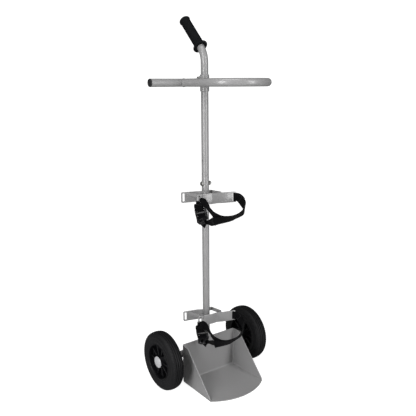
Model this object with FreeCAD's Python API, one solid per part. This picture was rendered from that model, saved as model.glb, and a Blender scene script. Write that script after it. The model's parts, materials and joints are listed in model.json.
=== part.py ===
# Hand cart for one gas cylinder: a two-part tube column with a bent handle, a floor tray with
# a rounded lip, two wheels on a rod axle, two strap brackets and a sliding cross tube.
# Millimetres. X runs along the axle, +Y to the person pushing, +Z up.
# The pieces are drawn round the axis of the column. They are saved COLUMN_Y further back, so that
# the origin is on the floor under the middle of the cylinder's place in the tray.
import FreeCAD, Part
import math
import os

V = FreeCAD.Vector
os.makedirs("parts", exist_ok=True)

# driving dimensions of the frame tubes
COLUMN_Y = 117.0
COLUMN_FOOT = 43.0
TUBE_R = 12.5
TUBE_WALL = 2.0
SPLIT_Z = 744.0
BEND_Z = 1113.0
BEND_R = 70.0
BEND_DEG = 45.0
GRIP_LEN = 129.0
SPIGOT_LOW = 650.0
SPIGOT_TOP = 822.0
BOLT_Z = 715.0
BOLT_R = 4.0
SPARE_HOLE_Z = 794.0
SPARE_HOLE_R = 3.25
FIT = 0.05

# tray
SHEET = 3.0
TRAY_HALF = 119.0
BACK_Y = -TUBE_R
SIDE_END_Y = -178.0
LIP_Y = -219.0
BACK_TOP = 148.6
SIDE_LEVEL_Y = -50.0
SIDE_DROP = 4.0
SIDE_CORNER_R = 14.0

# wheels and axle
WHEEL_R = 105.0
TYRE_W = 48.0
WHEEL_X = 190.0
RIM_R = 64.0
AXLE_R = 8.0
AXLE_Z = WHEEL_R
HUB_HALF = 28.0
SIDE_PLAY = 0.3
WASHER_T = 2.0
AXLE_TUBE_X = WHEEL_X - HUB_HALF - SIDE_PLAY - WASHER_T
RING_X = 203.0

# cross tube and hoop
BAR_Z = 1050.0
BAR_Y = -27.0
BAR_HALF = 225.0
HOOP_X = 104.0
HOOP_Y0 = -150.0
COLLAR_R = 15.25
COLLAR_LOW = 1022.0
COLLAR_TOP = 1076.0
COLLAR_PLAY = 0.1
CLAMP_Z = 1065.0
CLAMP_R = 3.0

# brackets and straps
PLATE_T = 3.0
PLATE_H = 37.0
LOWER_Z = 232.0
UPPER_Z = 670.0
SLOT_H = 30.0
SLOT_W = 7.5
STRAP_W = 28.6
STRAP_T = 1.8
LEG_H = 12.0


def cyl(r, h, base, axis):
    return Part.makeCylinder(r, h, V(*base), V(*axis))


def box(x0, x1, y0, y1, z0, z1):
    return Part.makeBox(x1 - x0, y1 - y0, z1 - z0, V(x0, y0, z0))


def fuse(shapes):
    out = shapes[0]
    for s in shapes[1:]:
        out = out.fuse(s)
    return out.removeSplitter()


def prism(points, direction):
    face = Part.Face(Part.makePolygon([V(*p) for p in points] + [V(*points[0])]))
    return face.extrude(V(*direction))


def revolve_x(profile, x0=0.0, z0=0.0):
    """Turn a closed (x, r) outline about the X axis at height z0."""
    pts = [V(x0 + x, 0, z0 + r) for x, r in profile]
    face = Part.Face(Part.makePolygon(pts + [pts[0]]))
    return face.revolve(V(x0, 0, z0), V(1, 0, 0), 360)


def largest(shape):
    """Only the biggest solid, without the chips that a cut leaves behind it."""
    return Part.makeCompound(sorted(shape.Solids, key=lambda s: -s.Volume)[:1])


def annulus(centre, normal, r_out, r_in):
    ring = Part.Wire(Part.Edge(Part.Circle(centre, normal, r_out)))
    hole = Part.Wire(Part.Edge(Part.Circle(centre, normal, r_in)))
    return Part.Face(ring).cut(Part.Face(hole))


def bent_tube(parts, r_out, r_in):
    """Round tube from runs ("run", start, vector) and bends ("bend", start, tangent, centre, axis, degrees)."""
    solids = []
    for p in parts:
        if p[0] == "run":
            solids.append(annulus(p[1], p[2], r_out, r_in).extrude(p[2]))
        else:
            solids.append(annulus(p[1], p[2], r_out, r_in).revolve(p[3], p[4], p[5]))
    return fuse(solids)


def save(shape, node):
    shape = shape.translated(V(0, COLUMN_Y, 0))
    solids = shape.Solids
    if not solids or not shape.isValid():
        print("PROBLEM", node, "valid", shape.isValid(), "solids", len(solids))
    shape.exportStep("parts/%s.step" % node)
    b = shape.BoundBox
    print("%-22s solids %d vol %9.0f  x %.1f..%.1f y %.1f..%.1f z %.1f..%.1f" % (
        node, len(solids), shape.Volume, b.XMin, b.XMax, b.YMin, b.YMax, b.ZMin, b.ZMax))


# column
BORE_R = TUBE_R - TUBE_WALL
PLUG_R = BORE_R - FIT


def across_hole(r, z):
    """A cutter through the column, along X."""
    return cyl(r, 60, (-30, 0, z), (1, 0, 0))


lower = cyl(TUBE_R, SPLIT_Z - COLUMN_FOOT, (0, 0, COLUMN_FOOT), (0, 0, 1))
lower = lower.cut(cyl(BORE_R, SPLIT_Z, (0, 0, 0), (0, 0, 1)))
lower = lower.cut(across_hole(AXLE_R + 0.5, AXLE_Z))
lower = lower.cut(across_hole(BOLT_R + 0.25, BOLT_Z))
save(lower, "lower_column")

foot = cyl(PLUG_R, 14, (0, 0, COLUMN_FOOT), (0, 0, 1))
foot = foot.cut(cyl(7.5, 12, (0, 0, COLUMN_FOOT + 3), (0, 0, 1)))
foot_cap = cyl(TUBE_R, 3, (0, 0, COLUMN_FOOT - 3), (0, 0, 1))
foot_edge = [e for e in foot_cap.Edges if abs(e.BoundBox.ZMax - COLUMN_FOOT + 3) < 0.01]
foot_cap = foot_cap.makeFillet(1.2, foot_edge)
save(fuse([foot, foot_cap]), "column_foot_plug")

SPIGOT_WALL = 2.05
spigot = cyl(PLUG_R, SPIGOT_TOP - SPIGOT_LOW, (0, 0, SPIGOT_LOW), (0, 0, 1))
spigot = spigot.cut(cyl(PLUG_R - SPIGOT_WALL, SPIGOT_TOP, (0, 0, SPIGOT_LOW - 10), (0, 0, 1)))
spigot = spigot.cut(across_hole(BOLT_R + 0.25, BOLT_Z))
spigot = spigot.cut(across_hole(SPARE_HOLE_R, SPARE_HOLE_Z))
save(spigot, "spigot_tube")

bend = math.radians(BEND_DEG)
grip_start = V(0, BEND_R - BEND_R * math.cos(bend), BEND_Z + BEND_R * math.sin(bend))
along = V(0, math.sin(bend), math.cos(bend))
SEAM = 0.6
upper = bent_tube([
    ("run", V(0, 0, SPLIT_Z + SEAM), V(0, 0, BEND_Z - SPLIT_Z - SEAM)),
    ("bend", V(0, 0, BEND_Z), V(0, 0, 1), V(0, BEND_R, BEND_Z), V(-1, 0, 0), BEND_DEG),
    ("run", grip_start, along * (GRIP_LEN - 8.0)),
], TUBE_R, BORE_R)
upper = upper.cut(across_hole(SPARE_HOLE_R, SPARE_HOLE_Z))
save(upper, "upper_column")

# through bolt at the joint: round head on the left, nut on the right
WASHER_R = 8.0
BOLT_WASHER_T = 1.5
HEAD_H = 4.4
head_x = -TUBE_R - BOLT_WASHER_T - HEAD_H
head = cyl(WASHER_R, HEAD_H, (head_x, 0, BOLT_Z), (1, 0, 0))
head = head.makeFillet(3.2, [e for e in head.Edges if abs(e.BoundBox.XMin - head_x) < 0.01
                             and e.BoundBox.XLength < 0.01])
shank = cyl(BOLT_R, 2 * TUBE_R + 13.0, (-TUBE_R - 2.0, 0, BOLT_Z), (1, 0, 0))
save(fuse([head, shank]), "column_bolt")


def hexagon(across_flats, h, base):
    """Six-sided prism along X."""
    r = across_flats / math.sqrt(3)
    corners = []
    for k in range(6):
        a = math.radians(60 * k + 30)
        corners.append((base[0], base[1] + r * math.cos(a), base[2] + r * math.sin(a)))
    return prism(corners, (h, 0, 0))


def washer(r_out, r_in, t, x, z):
    return cyl(r_out, t, (x, 0, z), (1, 0, 0)).cut(cyl(r_in, t + 2, (x - 1, 0, z), (1, 0, 0)))


NUT_FLATS = 13.0
NUT_H = 6.5
nut_x = TUBE_R + BOLT_WASHER_T
nut_chamfer = [(-1, 0), (-1, 7.6), (NUT_H - 1.1, 7.6), (NUT_H + 0.1, 6.4), (NUT_H + 0.1, 0)]
nut = hexagon(NUT_FLATS, NUT_H, (nut_x, 0, BOLT_Z))
nut = nut.common(revolve_x(nut_chamfer, nut_x, BOLT_Z))
nut = nut.cut(cyl(BOLT_R + FIT, 20, (TUBE_R, 0, BOLT_Z), (1, 0, 0)))
save(nut, "column_nut")
bolt_washers = []
for x in (-TUBE_R - BOLT_WASHER_T, TUBE_R):
    bolt_washers.append(washer(WASHER_R, BOLT_R + 0.2, BOLT_WASHER_T, x, BOLT_Z))
save(Part.makeCompound(bolt_washers), "bolt_washers")

# handle grip: ribbed sleeve with a wide guard below and a round bead on the end
SLEEVE_R = 16.0
RIB_R = 17.0
BEAD_R = 19.0
GUARD_R = 25.0
RIB_PITCH = 5.6
profile = [(0.0, TUBE_R + FIT), (0.0, GUARD_R - 2.4), (1.0, GUARD_R - 0.6), (2.6, GUARD_R),
           (4.4, GUARD_R - 0.6), (5.6, GUARD_R - 3.0), (6.4, RIB_R + 1.2)]
rib = 8.0
while rib < GRIP_LEN - 15.0:
    profile += [(rib, SLEEVE_R), (rib + 1.2, RIB_R), (rib + 3.4, RIB_R), (rib + 4.4, SLEEVE_R)]
    rib += RIB_PITCH
profile += [(GRIP_LEN - 9.0, SLEEVE_R + 0.2), (GRIP_LEN - 7.0, BEAD_R - 0.8), (GRIP_LEN - 4.0, BEAD_R),
            (GRIP_LEN - 1.5, BEAD_R - 1.4), (GRIP_LEN, BEAD_R - 5.2), (GRIP_LEN, 0.0), (GRIP_LEN - 7.6, 0.0),
            (GRIP_LEN - 7.6, TUBE_R + FIT)]
grip_outline = [V(r, 0, z) for z, r in profile]
grip = Part.Face(Part.makePolygon(grip_outline + [grip_outline[0]])).revolve(V(0, 0, 0), V(0, 0, 1), 360)
grip.rotate(V(0, 0, 0), V(1, 0, 0), -BEND_DEG)
grip.translate(grip_start)
save(grip, "handle_grip")

# collar that slides on the upper column
collar = cyl(COLLAR_R, COLLAR_TOP - COLLAR_LOW, (0, 0, COLLAR_LOW), (0, 0, 1))
collar = collar.makeChamfer(1.4, collar.Edges[0:1] + collar.Edges[2:3])
collar = collar.cut(cyl(TUBE_R + COLLAR_PLAY, COLLAR_TOP, (0, 0, COLLAR_LOW - 10), (0, 0, 1)))
collar = collar.cut(cyl(CLAMP_R + 0.06, 20, (-30, 0, CLAMP_Z), (1, 0, 0)))
save(collar, "crossbar_collar")

collar_space = cyl(COLLAR_R, 100, (0, 0, COLLAR_LOW - 20), (0, 0, 1))

# a nut welded to the collar, and the clamp screw in it
CLAMP_NUT_FLATS = 11.0
CLAMP_NUT_H = 6.0
boss = hexagon(CLAMP_NUT_FLATS, CLAMP_NUT_H + 2.5, (-COLLAR_R - CLAMP_NUT_H, 0, CLAMP_Z))
boss = boss.cut(collar_space)
boss = boss.cut(cyl(CLAMP_R + 0.06, 30, (-40, 0, CLAMP_Z), (1, 0, 0)))
save(boss, "clamp_boss")

SCREW_HEAD_R = 4.2
SCREW_HEAD_H = 7.0
SOCKET_FLATS = 4.0
SOCKET_DEPTH = 4.0
head_x = -COLLAR_R - CLAMP_NUT_H - 1.0 - SCREW_HEAD_H
screw_head = cyl(SCREW_HEAD_R, SCREW_HEAD_H, (head_x, 0, CLAMP_Z), (1, 0, 0))
screw_head = screw_head.makeFillet(0.8, [e for e in screw_head.Edges if abs(e.BoundBox.XMax - head_x) < 0.01])
screw_head = screw_head.cut(hexagon(SOCKET_FLATS, SOCKET_DEPTH + 1.0, (head_x - 1.0, 0, CLAMP_Z)))
screw_tip = -TUBE_R - 0.35
neck_x = head_x + SOCKET_DEPTH + 1.0
neck = cyl(CLAMP_R, screw_tip - neck_x, (neck_x, 0, CLAMP_Z), (1, 0, 0))
save(fuse([screw_head, neck]), "clamp_screw")

bar = cyl(TUBE_R, 2 * BAR_HALF, (-BAR_HALF, BAR_Y, BAR_Z), (1, 0, 0))
bar = bar.cut(cyl(BORE_R, 2 * BAR_HALF + 2, (-BAR_HALF - 1, BAR_Y, BAR_Z), (1, 0, 0)))
bar = bar.cut(collar_space)
save(bar, "crossbar_tube")

leg_run = V(0, HOOP_Y0 - BAR_Y, 0)
hoop = bent_tube([
    ("run", V(-HOOP_X, BAR_Y, BAR_Z), leg_run),
    ("bend", V(-HOOP_X, HOOP_Y0, BAR_Z), V(0, -1, 0), V(0, HOOP_Y0, BAR_Z), V(0, 0, 1), 180),
    ("run", V(HOOP_X, HOOP_Y0, BAR_Z), leg_run * -1.0),
], TUBE_R, BORE_R)
hoop = hoop.cut(cyl(TUBE_R, 2 * BAR_HALF, (-BAR_HALF, BAR_Y, BAR_Z), (1, 0, 0)))
save(largest(hoop), "guard_hoop")

for side, name in ((-1, "left"), (1, "right")):
    outline = [(0, 0), (0, TUBE_R - 1.5), (0.6, TUBE_R - 0.4), (1.6, TUBE_R), (3.0, TUBE_R),
               (3.0, PLUG_R), (13.0, PLUG_R), (13.0, 7.5), (4.5, 7.5), (4.5, 0)]
    plug = revolve_x(outline)
    if side > 0:
        plug.rotate(V(0, 0, 0), V(0, 0, 1), 180)
    plug.translate(V(side * (BAR_HALF + 3.0), BAR_Y, BAR_Z))
    save(plug, "crossbar_plug_%s" % name)

# tray
FLOOR_BACK = BACK_Y - SHEET
floor_corners = [V(-TRAY_HALF, FLOOR_BACK, 0), V(-TRAY_HALF, SIDE_END_Y, 0), V(TRAY_HALF, SIDE_END_Y, 0),
                 V(TRAY_HALF, FLOOR_BACK, 0)]
lip = Part.Arc(floor_corners[1], V(0, LIP_Y, 0), floor_corners[2]).toShape()
floor_edge = Part.Wire([
    Part.makeLine(floor_corners[0], floor_corners[1]), lip,
    Part.makeLine(floor_corners[2], floor_corners[3]), Part.makeLine(floor_corners[3], floor_corners[0])])
save(Part.Face(floor_edge).extrude(V(0, 0, SHEET)), "tray_floor")

save(box(-TRAY_HALF, TRAY_HALF, FLOOR_BACK, BACK_Y, 0, BACK_TOP), "tray_back_plate")

for side, name in ((-1, "left"), (1, "right")):
    x0 = -TRAY_HALF if side < 0 else TRAY_HALF - SHEET
    outline = [(x0, FLOOR_BACK, SHEET), (x0, FLOOR_BACK, BACK_TOP - 0.6),
               (x0, SIDE_LEVEL_Y, BACK_TOP - SIDE_DROP), (x0, SIDE_END_Y + 3.0, SHEET + 4.0),
               (x0, SIDE_END_Y + 1.0, SHEET)]
    panel = prism(outline, (SHEET, 0, 0))
    across = [e for e in panel.Edges if e.BoundBox.YLength < 0.01 and e.BoundBox.ZLength < 0.01]
    shoulder = [e for e in across if abs(e.BoundBox.YMin - SIDE_LEVEL_Y) < 0.01]
    save(panel.makeFillet(SIDE_CORNER_R, shoulder), "tray_%s_side" % name)

# axle
for side, name in ((-1, "left"), (1, "right")):
    x0 = -AXLE_TUBE_X if side < 0 else 0
    tube = cyl(TUBE_R, AXLE_TUBE_X, (x0, 0, AXLE_Z), (1, 0, 0))
    tube = tube.cut(cyl(AXLE_R + 0.5, AXLE_TUBE_X + 2, (x0 - 1, 0, AXLE_Z), (1, 0, 0)))
    tube = tube.cut(cyl(TUBE_R, 200, (0, 0, 10), (0, 0, 1)))
    save(largest(tube), "axle_tube_%s" % name)

ROD_HALF = 207.0
GROOVE_DEPTH = 0.7
RING_T = 1.2
rod = cyl(AXLE_R, 2 * ROD_HALF, (-ROD_HALF, 0, AXLE_Z), (1, 0, 0))
rod = rod.makeChamfer(1.0, [rod.Edges[0], rod.Edges[2]])
for side in (-1, 1):
    groove_x = side * RING_X - RING_T / 2 - 0.1
    groove = cyl(AXLE_R + 2, RING_T + 0.2, (groove_x, 0, AXLE_Z), (1, 0, 0))
    groove = groove.cut(cyl(AXLE_R - GROOVE_DEPTH, 3, (groove_x - 1, 0, AXLE_Z), (1, 0, 0)))
    rod = rod.cut(groove)
save(rod, "axle_rod")

OUTER_WASHER_T = 1.8
washers_in = []
washers_out = []
rings = []
for side in (-1, 1):
    inner_mid = side * (AXLE_TUBE_X + WASHER_T / 2)
    outer_mid = side * (RING_X - RING_T / 2 - OUTER_WASHER_T / 2)
    washers_in.append(washer(14.0, AXLE_R + 0.1, WASHER_T, inner_mid - WASHER_T / 2, AXLE_Z))
    washers_out.append(washer(12.5, AXLE_R + 0.1, OUTER_WASHER_T, outer_mid - OUTER_WASHER_T / 2, AXLE_Z))
    ring = washer(11.0, AXLE_R - GROOVE_DEPTH + 0.1, RING_T, side * RING_X - RING_T / 2, AXLE_Z)
    rings.append(ring.cut(box(side * RING_X - 2, side * RING_X + 2, -2.2, 2.2, AXLE_Z, AXLE_Z + 20)))
save(Part.makeCompound(washers_in), "axle_inner_washers")
save(Part.makeCompound(washers_out), "axle_outer_washers")
save(Part.makeCompound(rings), "retaining_rings")


# wheels: tyre, ribbed rim, two bushes, hub cap; local x runs from the inner to the outer side
GROOVE_X = (-14.0, -4.7, 4.7, 14.0)
GROOVE_D = 3.0
CROWN_DROP = 4.0
RIM_RIBS = 10
BUSH_R = 10.0


def wheel(side, name):
    def place(shape):
        s = shape.copy()
        if side < 0:
            s = s.mirror(V(0, 0, 0), V(1, 0, 0))
        s.translate(V(side * WHEEL_X, 0, AXLE_Z))
        return s

    half = TYRE_W / 2
    shoulder = [(half - 6.5, 100.6), (half - 2.2, 94.0), (half, 84.0), (half, RIM_R + 10), (half, RIM_R + FIT)]
    tread = [(-x, r) for x, r in reversed(shoulder)]
    for x in GROOVE_X:
        if x == GROOVE_X[2]:
            tread.append((0.0, WHEEL_R))
        lift = WHEEL_R - (x * x) / (half * half) * CROWN_DROP
        tread += [(x - 1.9, lift), (x - 1.2, lift - GROOVE_D), (x + 1.2, lift - GROOVE_D), (x + 1.9, lift)]
    save(place(revolve_x(tread + shoulder)), "%s_tyre" % name)

    rim_half = 21.0
    web = 4.0
    band = RIM_R - 5.0
    bore = BUSH_R + FIT
    outline = [(-HUB_HALF, bore), (-HUB_HALF, 22.0), (-web, 24.0), (-web, band), (-rim_half, band),
               (-rim_half - 1.5, RIM_R), (rim_half + 1.5, RIM_R), (rim_half, band), (web, band), (web, 24.0),
               (22.0, 21.5), (22.0, 18.2), (10.3, 18.2), (10.3, bore)]
    rim = revolve_x(outline)
    ribs = []
    for k in range(RIM_RIBS):
        r1 = box(web - 0.5, 15.0, -2.0, 2.0, 21.0, band + 1.0)
        r2 = box(-15.0, -web + 0.5, -2.0, 2.0, 21.5, band + 1.0)
        for r in (r1, r2):
            r.rotate(V(0, 0, 0), V(1, 0, 0), 360 / RIM_RIBS * k)
            ribs.append(r)
    rim = fuse([rim] + ribs)
    save(place(rim), "%s_rim" % name)

    bushes = []
    for x0, x1 in ((-HUB_HALF, -10.0), (-4.0, 10.0)):
        bushes.append(revolve_x([(x0, AXLE_R + 0.06), (x0, BUSH_R), (x1, BUSH_R), (x1, AXLE_R + 0.06)]))
    save(place(Part.makeCompound(bushes)), "%s_bushes" % name)

    cap = revolve_x([(14.0, 18.15), (22.05, 18.15), (22.05, 20.6), (23.4, 20.6), (25.2, 18.8), (26.3, 14.6),
                     (26.9, 8.0), (27.0, 0.0), (24.8, 0.0), (24.6, 10.0), (23.6, 15.6), (14.0, 16.4)])
    save(place(cap), "%s_hub_cap" % name)


wheel(-1, "left")
wheel(1, "right")


# brackets: plan paths are (x, forward) pairs, forward being towards -Y
def rounded_path(points, radius):
    """Lines joined by tangent arcs; returns edges in the plane z = 0."""
    pts = [V(x, -f, 0) for x, f in points]
    edges = []
    start = pts[0]
    for a, b, c in zip(pts, pts[1:], pts[2:]):
        u = (a - b).normalize()
        w = (c - b).normalize()
        half_angle = u.getAngle(w) / 2
        reach = radius / math.tan(half_angle)
        p = b + u * reach
        q = b + w * reach
        centre = b + (u + w).normalize() * (radius / math.sin(half_angle))
        mid = centre + (b - centre).normalize() * radius
        edges.append(Part.makeLine(start, p))
        edges.append(Part.Arc(p, mid, q).toShape())
        start = q
    edges.append(Part.makeLine(start, pts[-1]))
    return edges


def strip(points, radius, thick, z0, z1):
    """Flat bar on edge: a thin upright rectangle swept along a plan path."""
    edges = rounded_path(points, radius) if len(points) > 2 else [Part.makeLine(
        V(points[0][0], -points[0][1], 0), V(points[1][0], -points[1][1], 0))]
    tangent = (edges[0].valueAt(edges[0].LastParameter) - edges[0].valueAt(edges[0].FirstParameter)).normalize()
    normal = V(-tangent.y, tangent.x, 0) * (thick / 2)
    start = edges[0].valueAt(edges[0].FirstParameter)
    rise = V(0, 0, z1 - z0)
    corners = [start - normal, start + normal, start + normal + rise, start - normal + rise]
    ring = Part.makePolygon(corners + [corners[0]])
    swept = Part.Wire(edges).makePipeShell([ring], True, False)
    swept.translate(V(0, 0, z0))
    return swept


def cut_box(centre, direction, length, z_mid, height, thick):
    """A cutter lying along a plan direction, centred on a plan point."""
    b = box(-length / 2, length / 2, -thick / 2, thick / 2, -height / 2, height / 2)
    angle = math.degrees(math.atan2(-direction[1], direction[0]))
    b.rotate(V(0, 0, 0), V(0, 0, 1), angle)
    b.translate(V(centre[0], -centre[1], z_mid))
    return b


CRADLE = [(-64.0, 38.0), (-10.0, 36.5), (16.0, 37.0), (38.0, 48.0), (77.0, 72.7)]
REAR = [(-81.0, -30.5), (-30.0, -4.5), (-10.5, -3.5)]
LEFT_LEG = [(-63.0, -26.0), (-46.0, 46.0)]
RIGHT_LEG = [(34.0, 60.0), (33.0, -12.0), (9.0, -7.0)]
LEG_T = 4.0
LEFT_TIP = CRADLE[0]
RIGHT_TIP = CRADLE[-1]
TIP_BAR = 5.0


def unit(a, b):
    """Plan direction from a to b."""
    length = math.hypot(b[0] - a[0], b[1] - a[1])
    return ((b[0] - a[0]) / length, (b[1] - a[1]) / length)


right_dir = unit(CRADLE[-2], CRADLE[-1])
left_dir = unit(CRADLE[1], CRADLE[0])
rear_dir = unit(REAR[1], REAR[0])


def slot_centre(tip, direction):
    back = TIP_BAR + SLOT_W / 2
    return (tip[0] - direction[0] * back, tip[1] - direction[1] * back)


def round_plate_end(shape, tip, direction, z0, z1, r):
    """Round the two corners at the end of a plate."""
    for low in (True, False):
        z_c = z0 + r if low else z1 - r
        inner = (tip[0] - direction[0] * r, tip[1] - direction[1] * r)
        shift = r / 2 + 0.6
        middle = (inner[0] + direction[0] * shift, inner[1] + direction[1] * shift)
        block = cut_box(middle, direction, r + 1.2, z_c - shift if low else z_c + shift, r + 1.2, 8.0)
        normal = V(direction[1], direction[0], 0)
        drum = Part.makeCylinder(r, 12.0, V(inner[0], -inner[1], z_c) - normal * 6.0, normal)
        shape = shape.cut(block.cut(drum))
    return shape


def bracket(prefix, z_mid):
    z0 = z_mid - PLATE_H / 2
    z1 = z_mid + PLATE_H / 2
    cradle = strip(CRADLE, 14.0, PLATE_T, z0, z1)
    for tip, direction in ((LEFT_TIP, left_dir), (RIGHT_TIP, right_dir)):
        cradle = cradle.cut(cut_box(slot_centre(tip, direction), direction, SLOT_W, z_mid, SLOT_H, 8.0))
        cradle = round_plate_end(cradle, tip, direction, z0, z1, 3.0)
    save(cradle, prefix + "_cradle")
    rear = strip(REAR, 12.0, PLATE_T, z0, z1)
    column = cyl(TUBE_R, 100, (0, 0, z0 - 20), (0, 0, 1))
    rear = largest(rear.cut(column))
    rear = rear.cut(cut_box(slot_centre(REAR[0], rear_dir), rear_dir, SLOT_W + 1.0, z_mid, SLOT_H - 2.0, 8.0))
    rear = round_plate_end(rear, REAR[0], rear_dir, z0, z1, 5.0)
    save(rear, prefix + "_rear_plate")
    rear_space = strip(REAR, 12.0, PLATE_T, z0 - 5, z1 + 5)
    cradle_space = strip(CRADLE, 14.0, PLATE_T, z0 - 5, z1 + 5)
    left_leg = strip(LEFT_LEG, 6.0, LEG_T, z1 - LEG_H, z1)
    save(largest(left_leg.cut(rear_space).cut(cradle_space)), prefix + "_left_leg")
    right_leg = strip(RIGHT_LEG, 7.0, LEG_T, z1 - LEG_H, z1)
    save(largest(right_leg.cut(cradle_space).cut(column)), prefix + "_right_leg")


bracket("lower", LOWER_Z)
bracket("upper", UPPER_Z)


# buckle: a frame that hangs below the left slot, with a pin and a cam lever. Its local frame has
# x across the webbing, y out towards the user and z up
BUCKLE_AT = (-63.4, 47.4, -11.0)
BUCKLE_TURN = 128.0
BUCKLE_LEAN = 13.0
FRAME_HALF = 19.0
FRAME_BACK = -9.0
FRAME_FRONT = 5.0
FRAME_TOP = -12.0
FRAME_LOW = -58.0
PIN_AT = (0.0, 2.0, -30.0)
PIN_R = 2.0
CAM_R = 5.2
STRAP_Y = -5.0


def place_buckle(shape, z_mid):
    s = shape.copy()
    s.rotate(V(0, 0, 0), V(0, 1, 0), BUCKLE_LEAN)
    s.rotate(V(0, 0, 0), V(0, 0, 1), BUCKLE_TURN)
    s.translate(V(BUCKLE_AT[0], -BUCKLE_AT[1], z_mid + BUCKLE_AT[2]))
    return s


def buckle_vector(x, y, z):
    """A local direction of the buckle as (x, forward, up)."""
    lean = math.radians(BUCKLE_LEAN)
    turn = math.radians(BUCKLE_TURN)
    x1 = x * math.cos(lean) + z * math.sin(lean)
    z1 = -x * math.sin(lean) + z * math.cos(lean)
    return (x1 * math.cos(turn) - y * math.sin(turn), -(x1 * math.sin(turn) + y * math.cos(turn)), z1)


def buckle_point(x, y, z):
    v = buckle_vector(x, y, z)
    return (v[0] + BUCKLE_AT[0], v[1] + BUCKLE_AT[1], v[2] + BUCKLE_AT[2])


def smooth(points, per=5):
    """Catmull-Rom stations through a list of equally long tuples."""
    out = []
    n = len(points)
    for i in range(n - 1):
        p0 = points[max(i - 1, 0)]
        p1 = points[i]
        p2 = points[i + 1]
        p3 = points[min(i + 2, n - 1)]
        for k in range(per):
            t = k / per
            row = []
            for a, b, c, d in zip(p0, p1, p2, p3):
                row.append(0.5 * (2 * b + (c - a) * t + (2 * a - 5 * b + 4 * c - d) * t * t
                                  + (3 * b - a - 3 * c + d) * t ** 3))
            out.append(tuple(row))
    out.append(tuple(points[-1]))
    return out


def ribbon(stations, z_mid):
    """Loft a flat webbing section through (x, forward, dz, wx, wf, wz) stations; w is the width direction."""
    rows = smooth(stations)
    wires = []
    n = len(rows)
    for i, row in enumerate(rows):
        a = rows[max(i - 1, 0)]
        b = rows[min(i + 1, n - 1)]
        t = V(b[0] - a[0], -(b[1] - a[1]), b[2] - a[2]).normalize()
        w = V(row[3], -row[4], row[5])
        w = (w - t * w.dot(t)).normalize()
        side = t.cross(w) * (STRAP_T / 2)
        up = w * (STRAP_W / 2)
        c = V(row[0], -row[1], z_mid + row[2])
        corners = [c - side - up, c + side - up, c + side + up, c - side + up]
        wires.append(Part.makePolygon(corners + [corners[0]]))
    return Part.makeLoft(wires, True, True)


def tip_loop(tip, direction, z_mid):
    """Webbing wrapped round the outer bar of a slot: a ring in plan, upright."""
    gap = 0.45
    u = V(direction[0], -direction[1], 0)
    n = V(-u.y, u.x, 0)
    end = V(tip[0], -tip[1], 0)

    def ring(grow):
        s0 = -TIP_BAR - gap - grow
        s1 = gap + grow
        h = PLATE_T / 2 + gap + grow
        cs = [end + u * s0 - n * h, end + u * s1 - n * h, end + u * s1 + n * h, end + u * s0 + n * h]
        return Part.Face(Part.makePolygon(cs + [cs[0]])).extrude(V(0, 0, STRAP_W))
    solid = ring(STRAP_T).cut(ring(0))
    solid.translate(V(0, 0, z_mid - STRAP_W / 2))
    return solid


UP = (0.0, 0.0, 1.0)
ACROSS = buckle_vector(1.0, 0.0, 0.0)
# the strap's front hangs with its upper edge turned out, away from the middle of the loop
LOOP_MIDDLE = (10.0, 105.0)


def leaning(x, forward, dz, degrees, sign=1.0):
    """A station whose width direction leans out by an angle; sign -1 for a band that lies upside down."""
    across = x - LOOP_MIDDLE[0]
    out = forward - LOOP_MIDDLE[1]
    lean = math.radians(degrees)
    spread = math.sin(lean) / math.hypot(across, out)
    return (x, forward, dz, sign * across * spread, sign * out * spread, sign * math.cos(lean))


STRAP_ROUTE = [
    (78.8, 74.0, 0.0) + UP, (81.0, 77.4, -1.5) + UP, leaning(84.0, 86.5, -7.0, 8),
    leaning(84.0, 98.0, -15.0, 24), leaning(80.0, 113.0, -24.0, 34), leaning(70.0, 128.0, -31.0, 36),
    leaning(54.0, 141.0, -36.0, 36),
    leaning(33.0, 151.0, -40.0, 36), leaning(10.0, 157.0, -44.0, 36), leaning(-12.0, 157.0, -48.0, 36),
    leaning(-32.0, 150.0, -51.0, 34), leaning(-47.0, 137.0, -54.0, 26), leaning(-54.5, 121.0, -58.0, 12),
    (-49.0, 106.0, -65.0, -0.3, -0.3, 0.8), (-39.0, 87.0, -71.5, -0.5, -0.6, 0.4),
    buckle_point(-9.0, STRAP_Y, -74.0) + ACROSS, buckle_point(0, STRAP_Y, -64.0) + ACROSS,
    buckle_point(0, STRAP_Y, -50.0) + ACROSS, buckle_point(0, STRAP_Y, -32.0) + ACROSS]
TAIL_ROUTE = [
    buckle_point(0, STRAP_Y, -31.6) + ACROSS, buckle_point(0, -3.6, -24.4) + ACROSS,
    buckle_point(0, 2.0, -22.6) + ACROSS, buckle_point(0, 7.5, -21.4) + ACROSS,
    buckle_point(0, 12.5, -13.0) + ACROSS, buckle_point(-2.0, 14.0, -3.0) + (-0.4, -0.5, -0.45),
    (-68.0, 72.0, 0.0, -0.2, -0.2, -0.9), leaning(-63.0, 86.0, -6.0, 8, -1.0),
    leaning(-61.0, 98.0, -16.0, 14, -1.0), leaning(-60.0, 109.0, -26.0, 20, -1.0),
    leaning(-56.0, 121.0, -36.0, 26, -1.0), leaning(-47.0, 131.5, -43.5, 32, -1.0),
    leaning(-33.5, 143.5, -48.0, 36, -1.0), leaning(-13.0, 151.5, -46.5, 36, -1.0),
    leaning(10.0, 152.0, -43.0, 36, -1.0)]


def strap(prefix, z_mid):
    main = ribbon(STRAP_ROUTE, z_mid)
    save(fuse([main, tip_loop(RIGHT_TIP, right_dir, z_mid)]), prefix + "_strap")
    save(ribbon(TAIL_ROUTE, z_mid), prefix + "_strap_tail")


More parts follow.
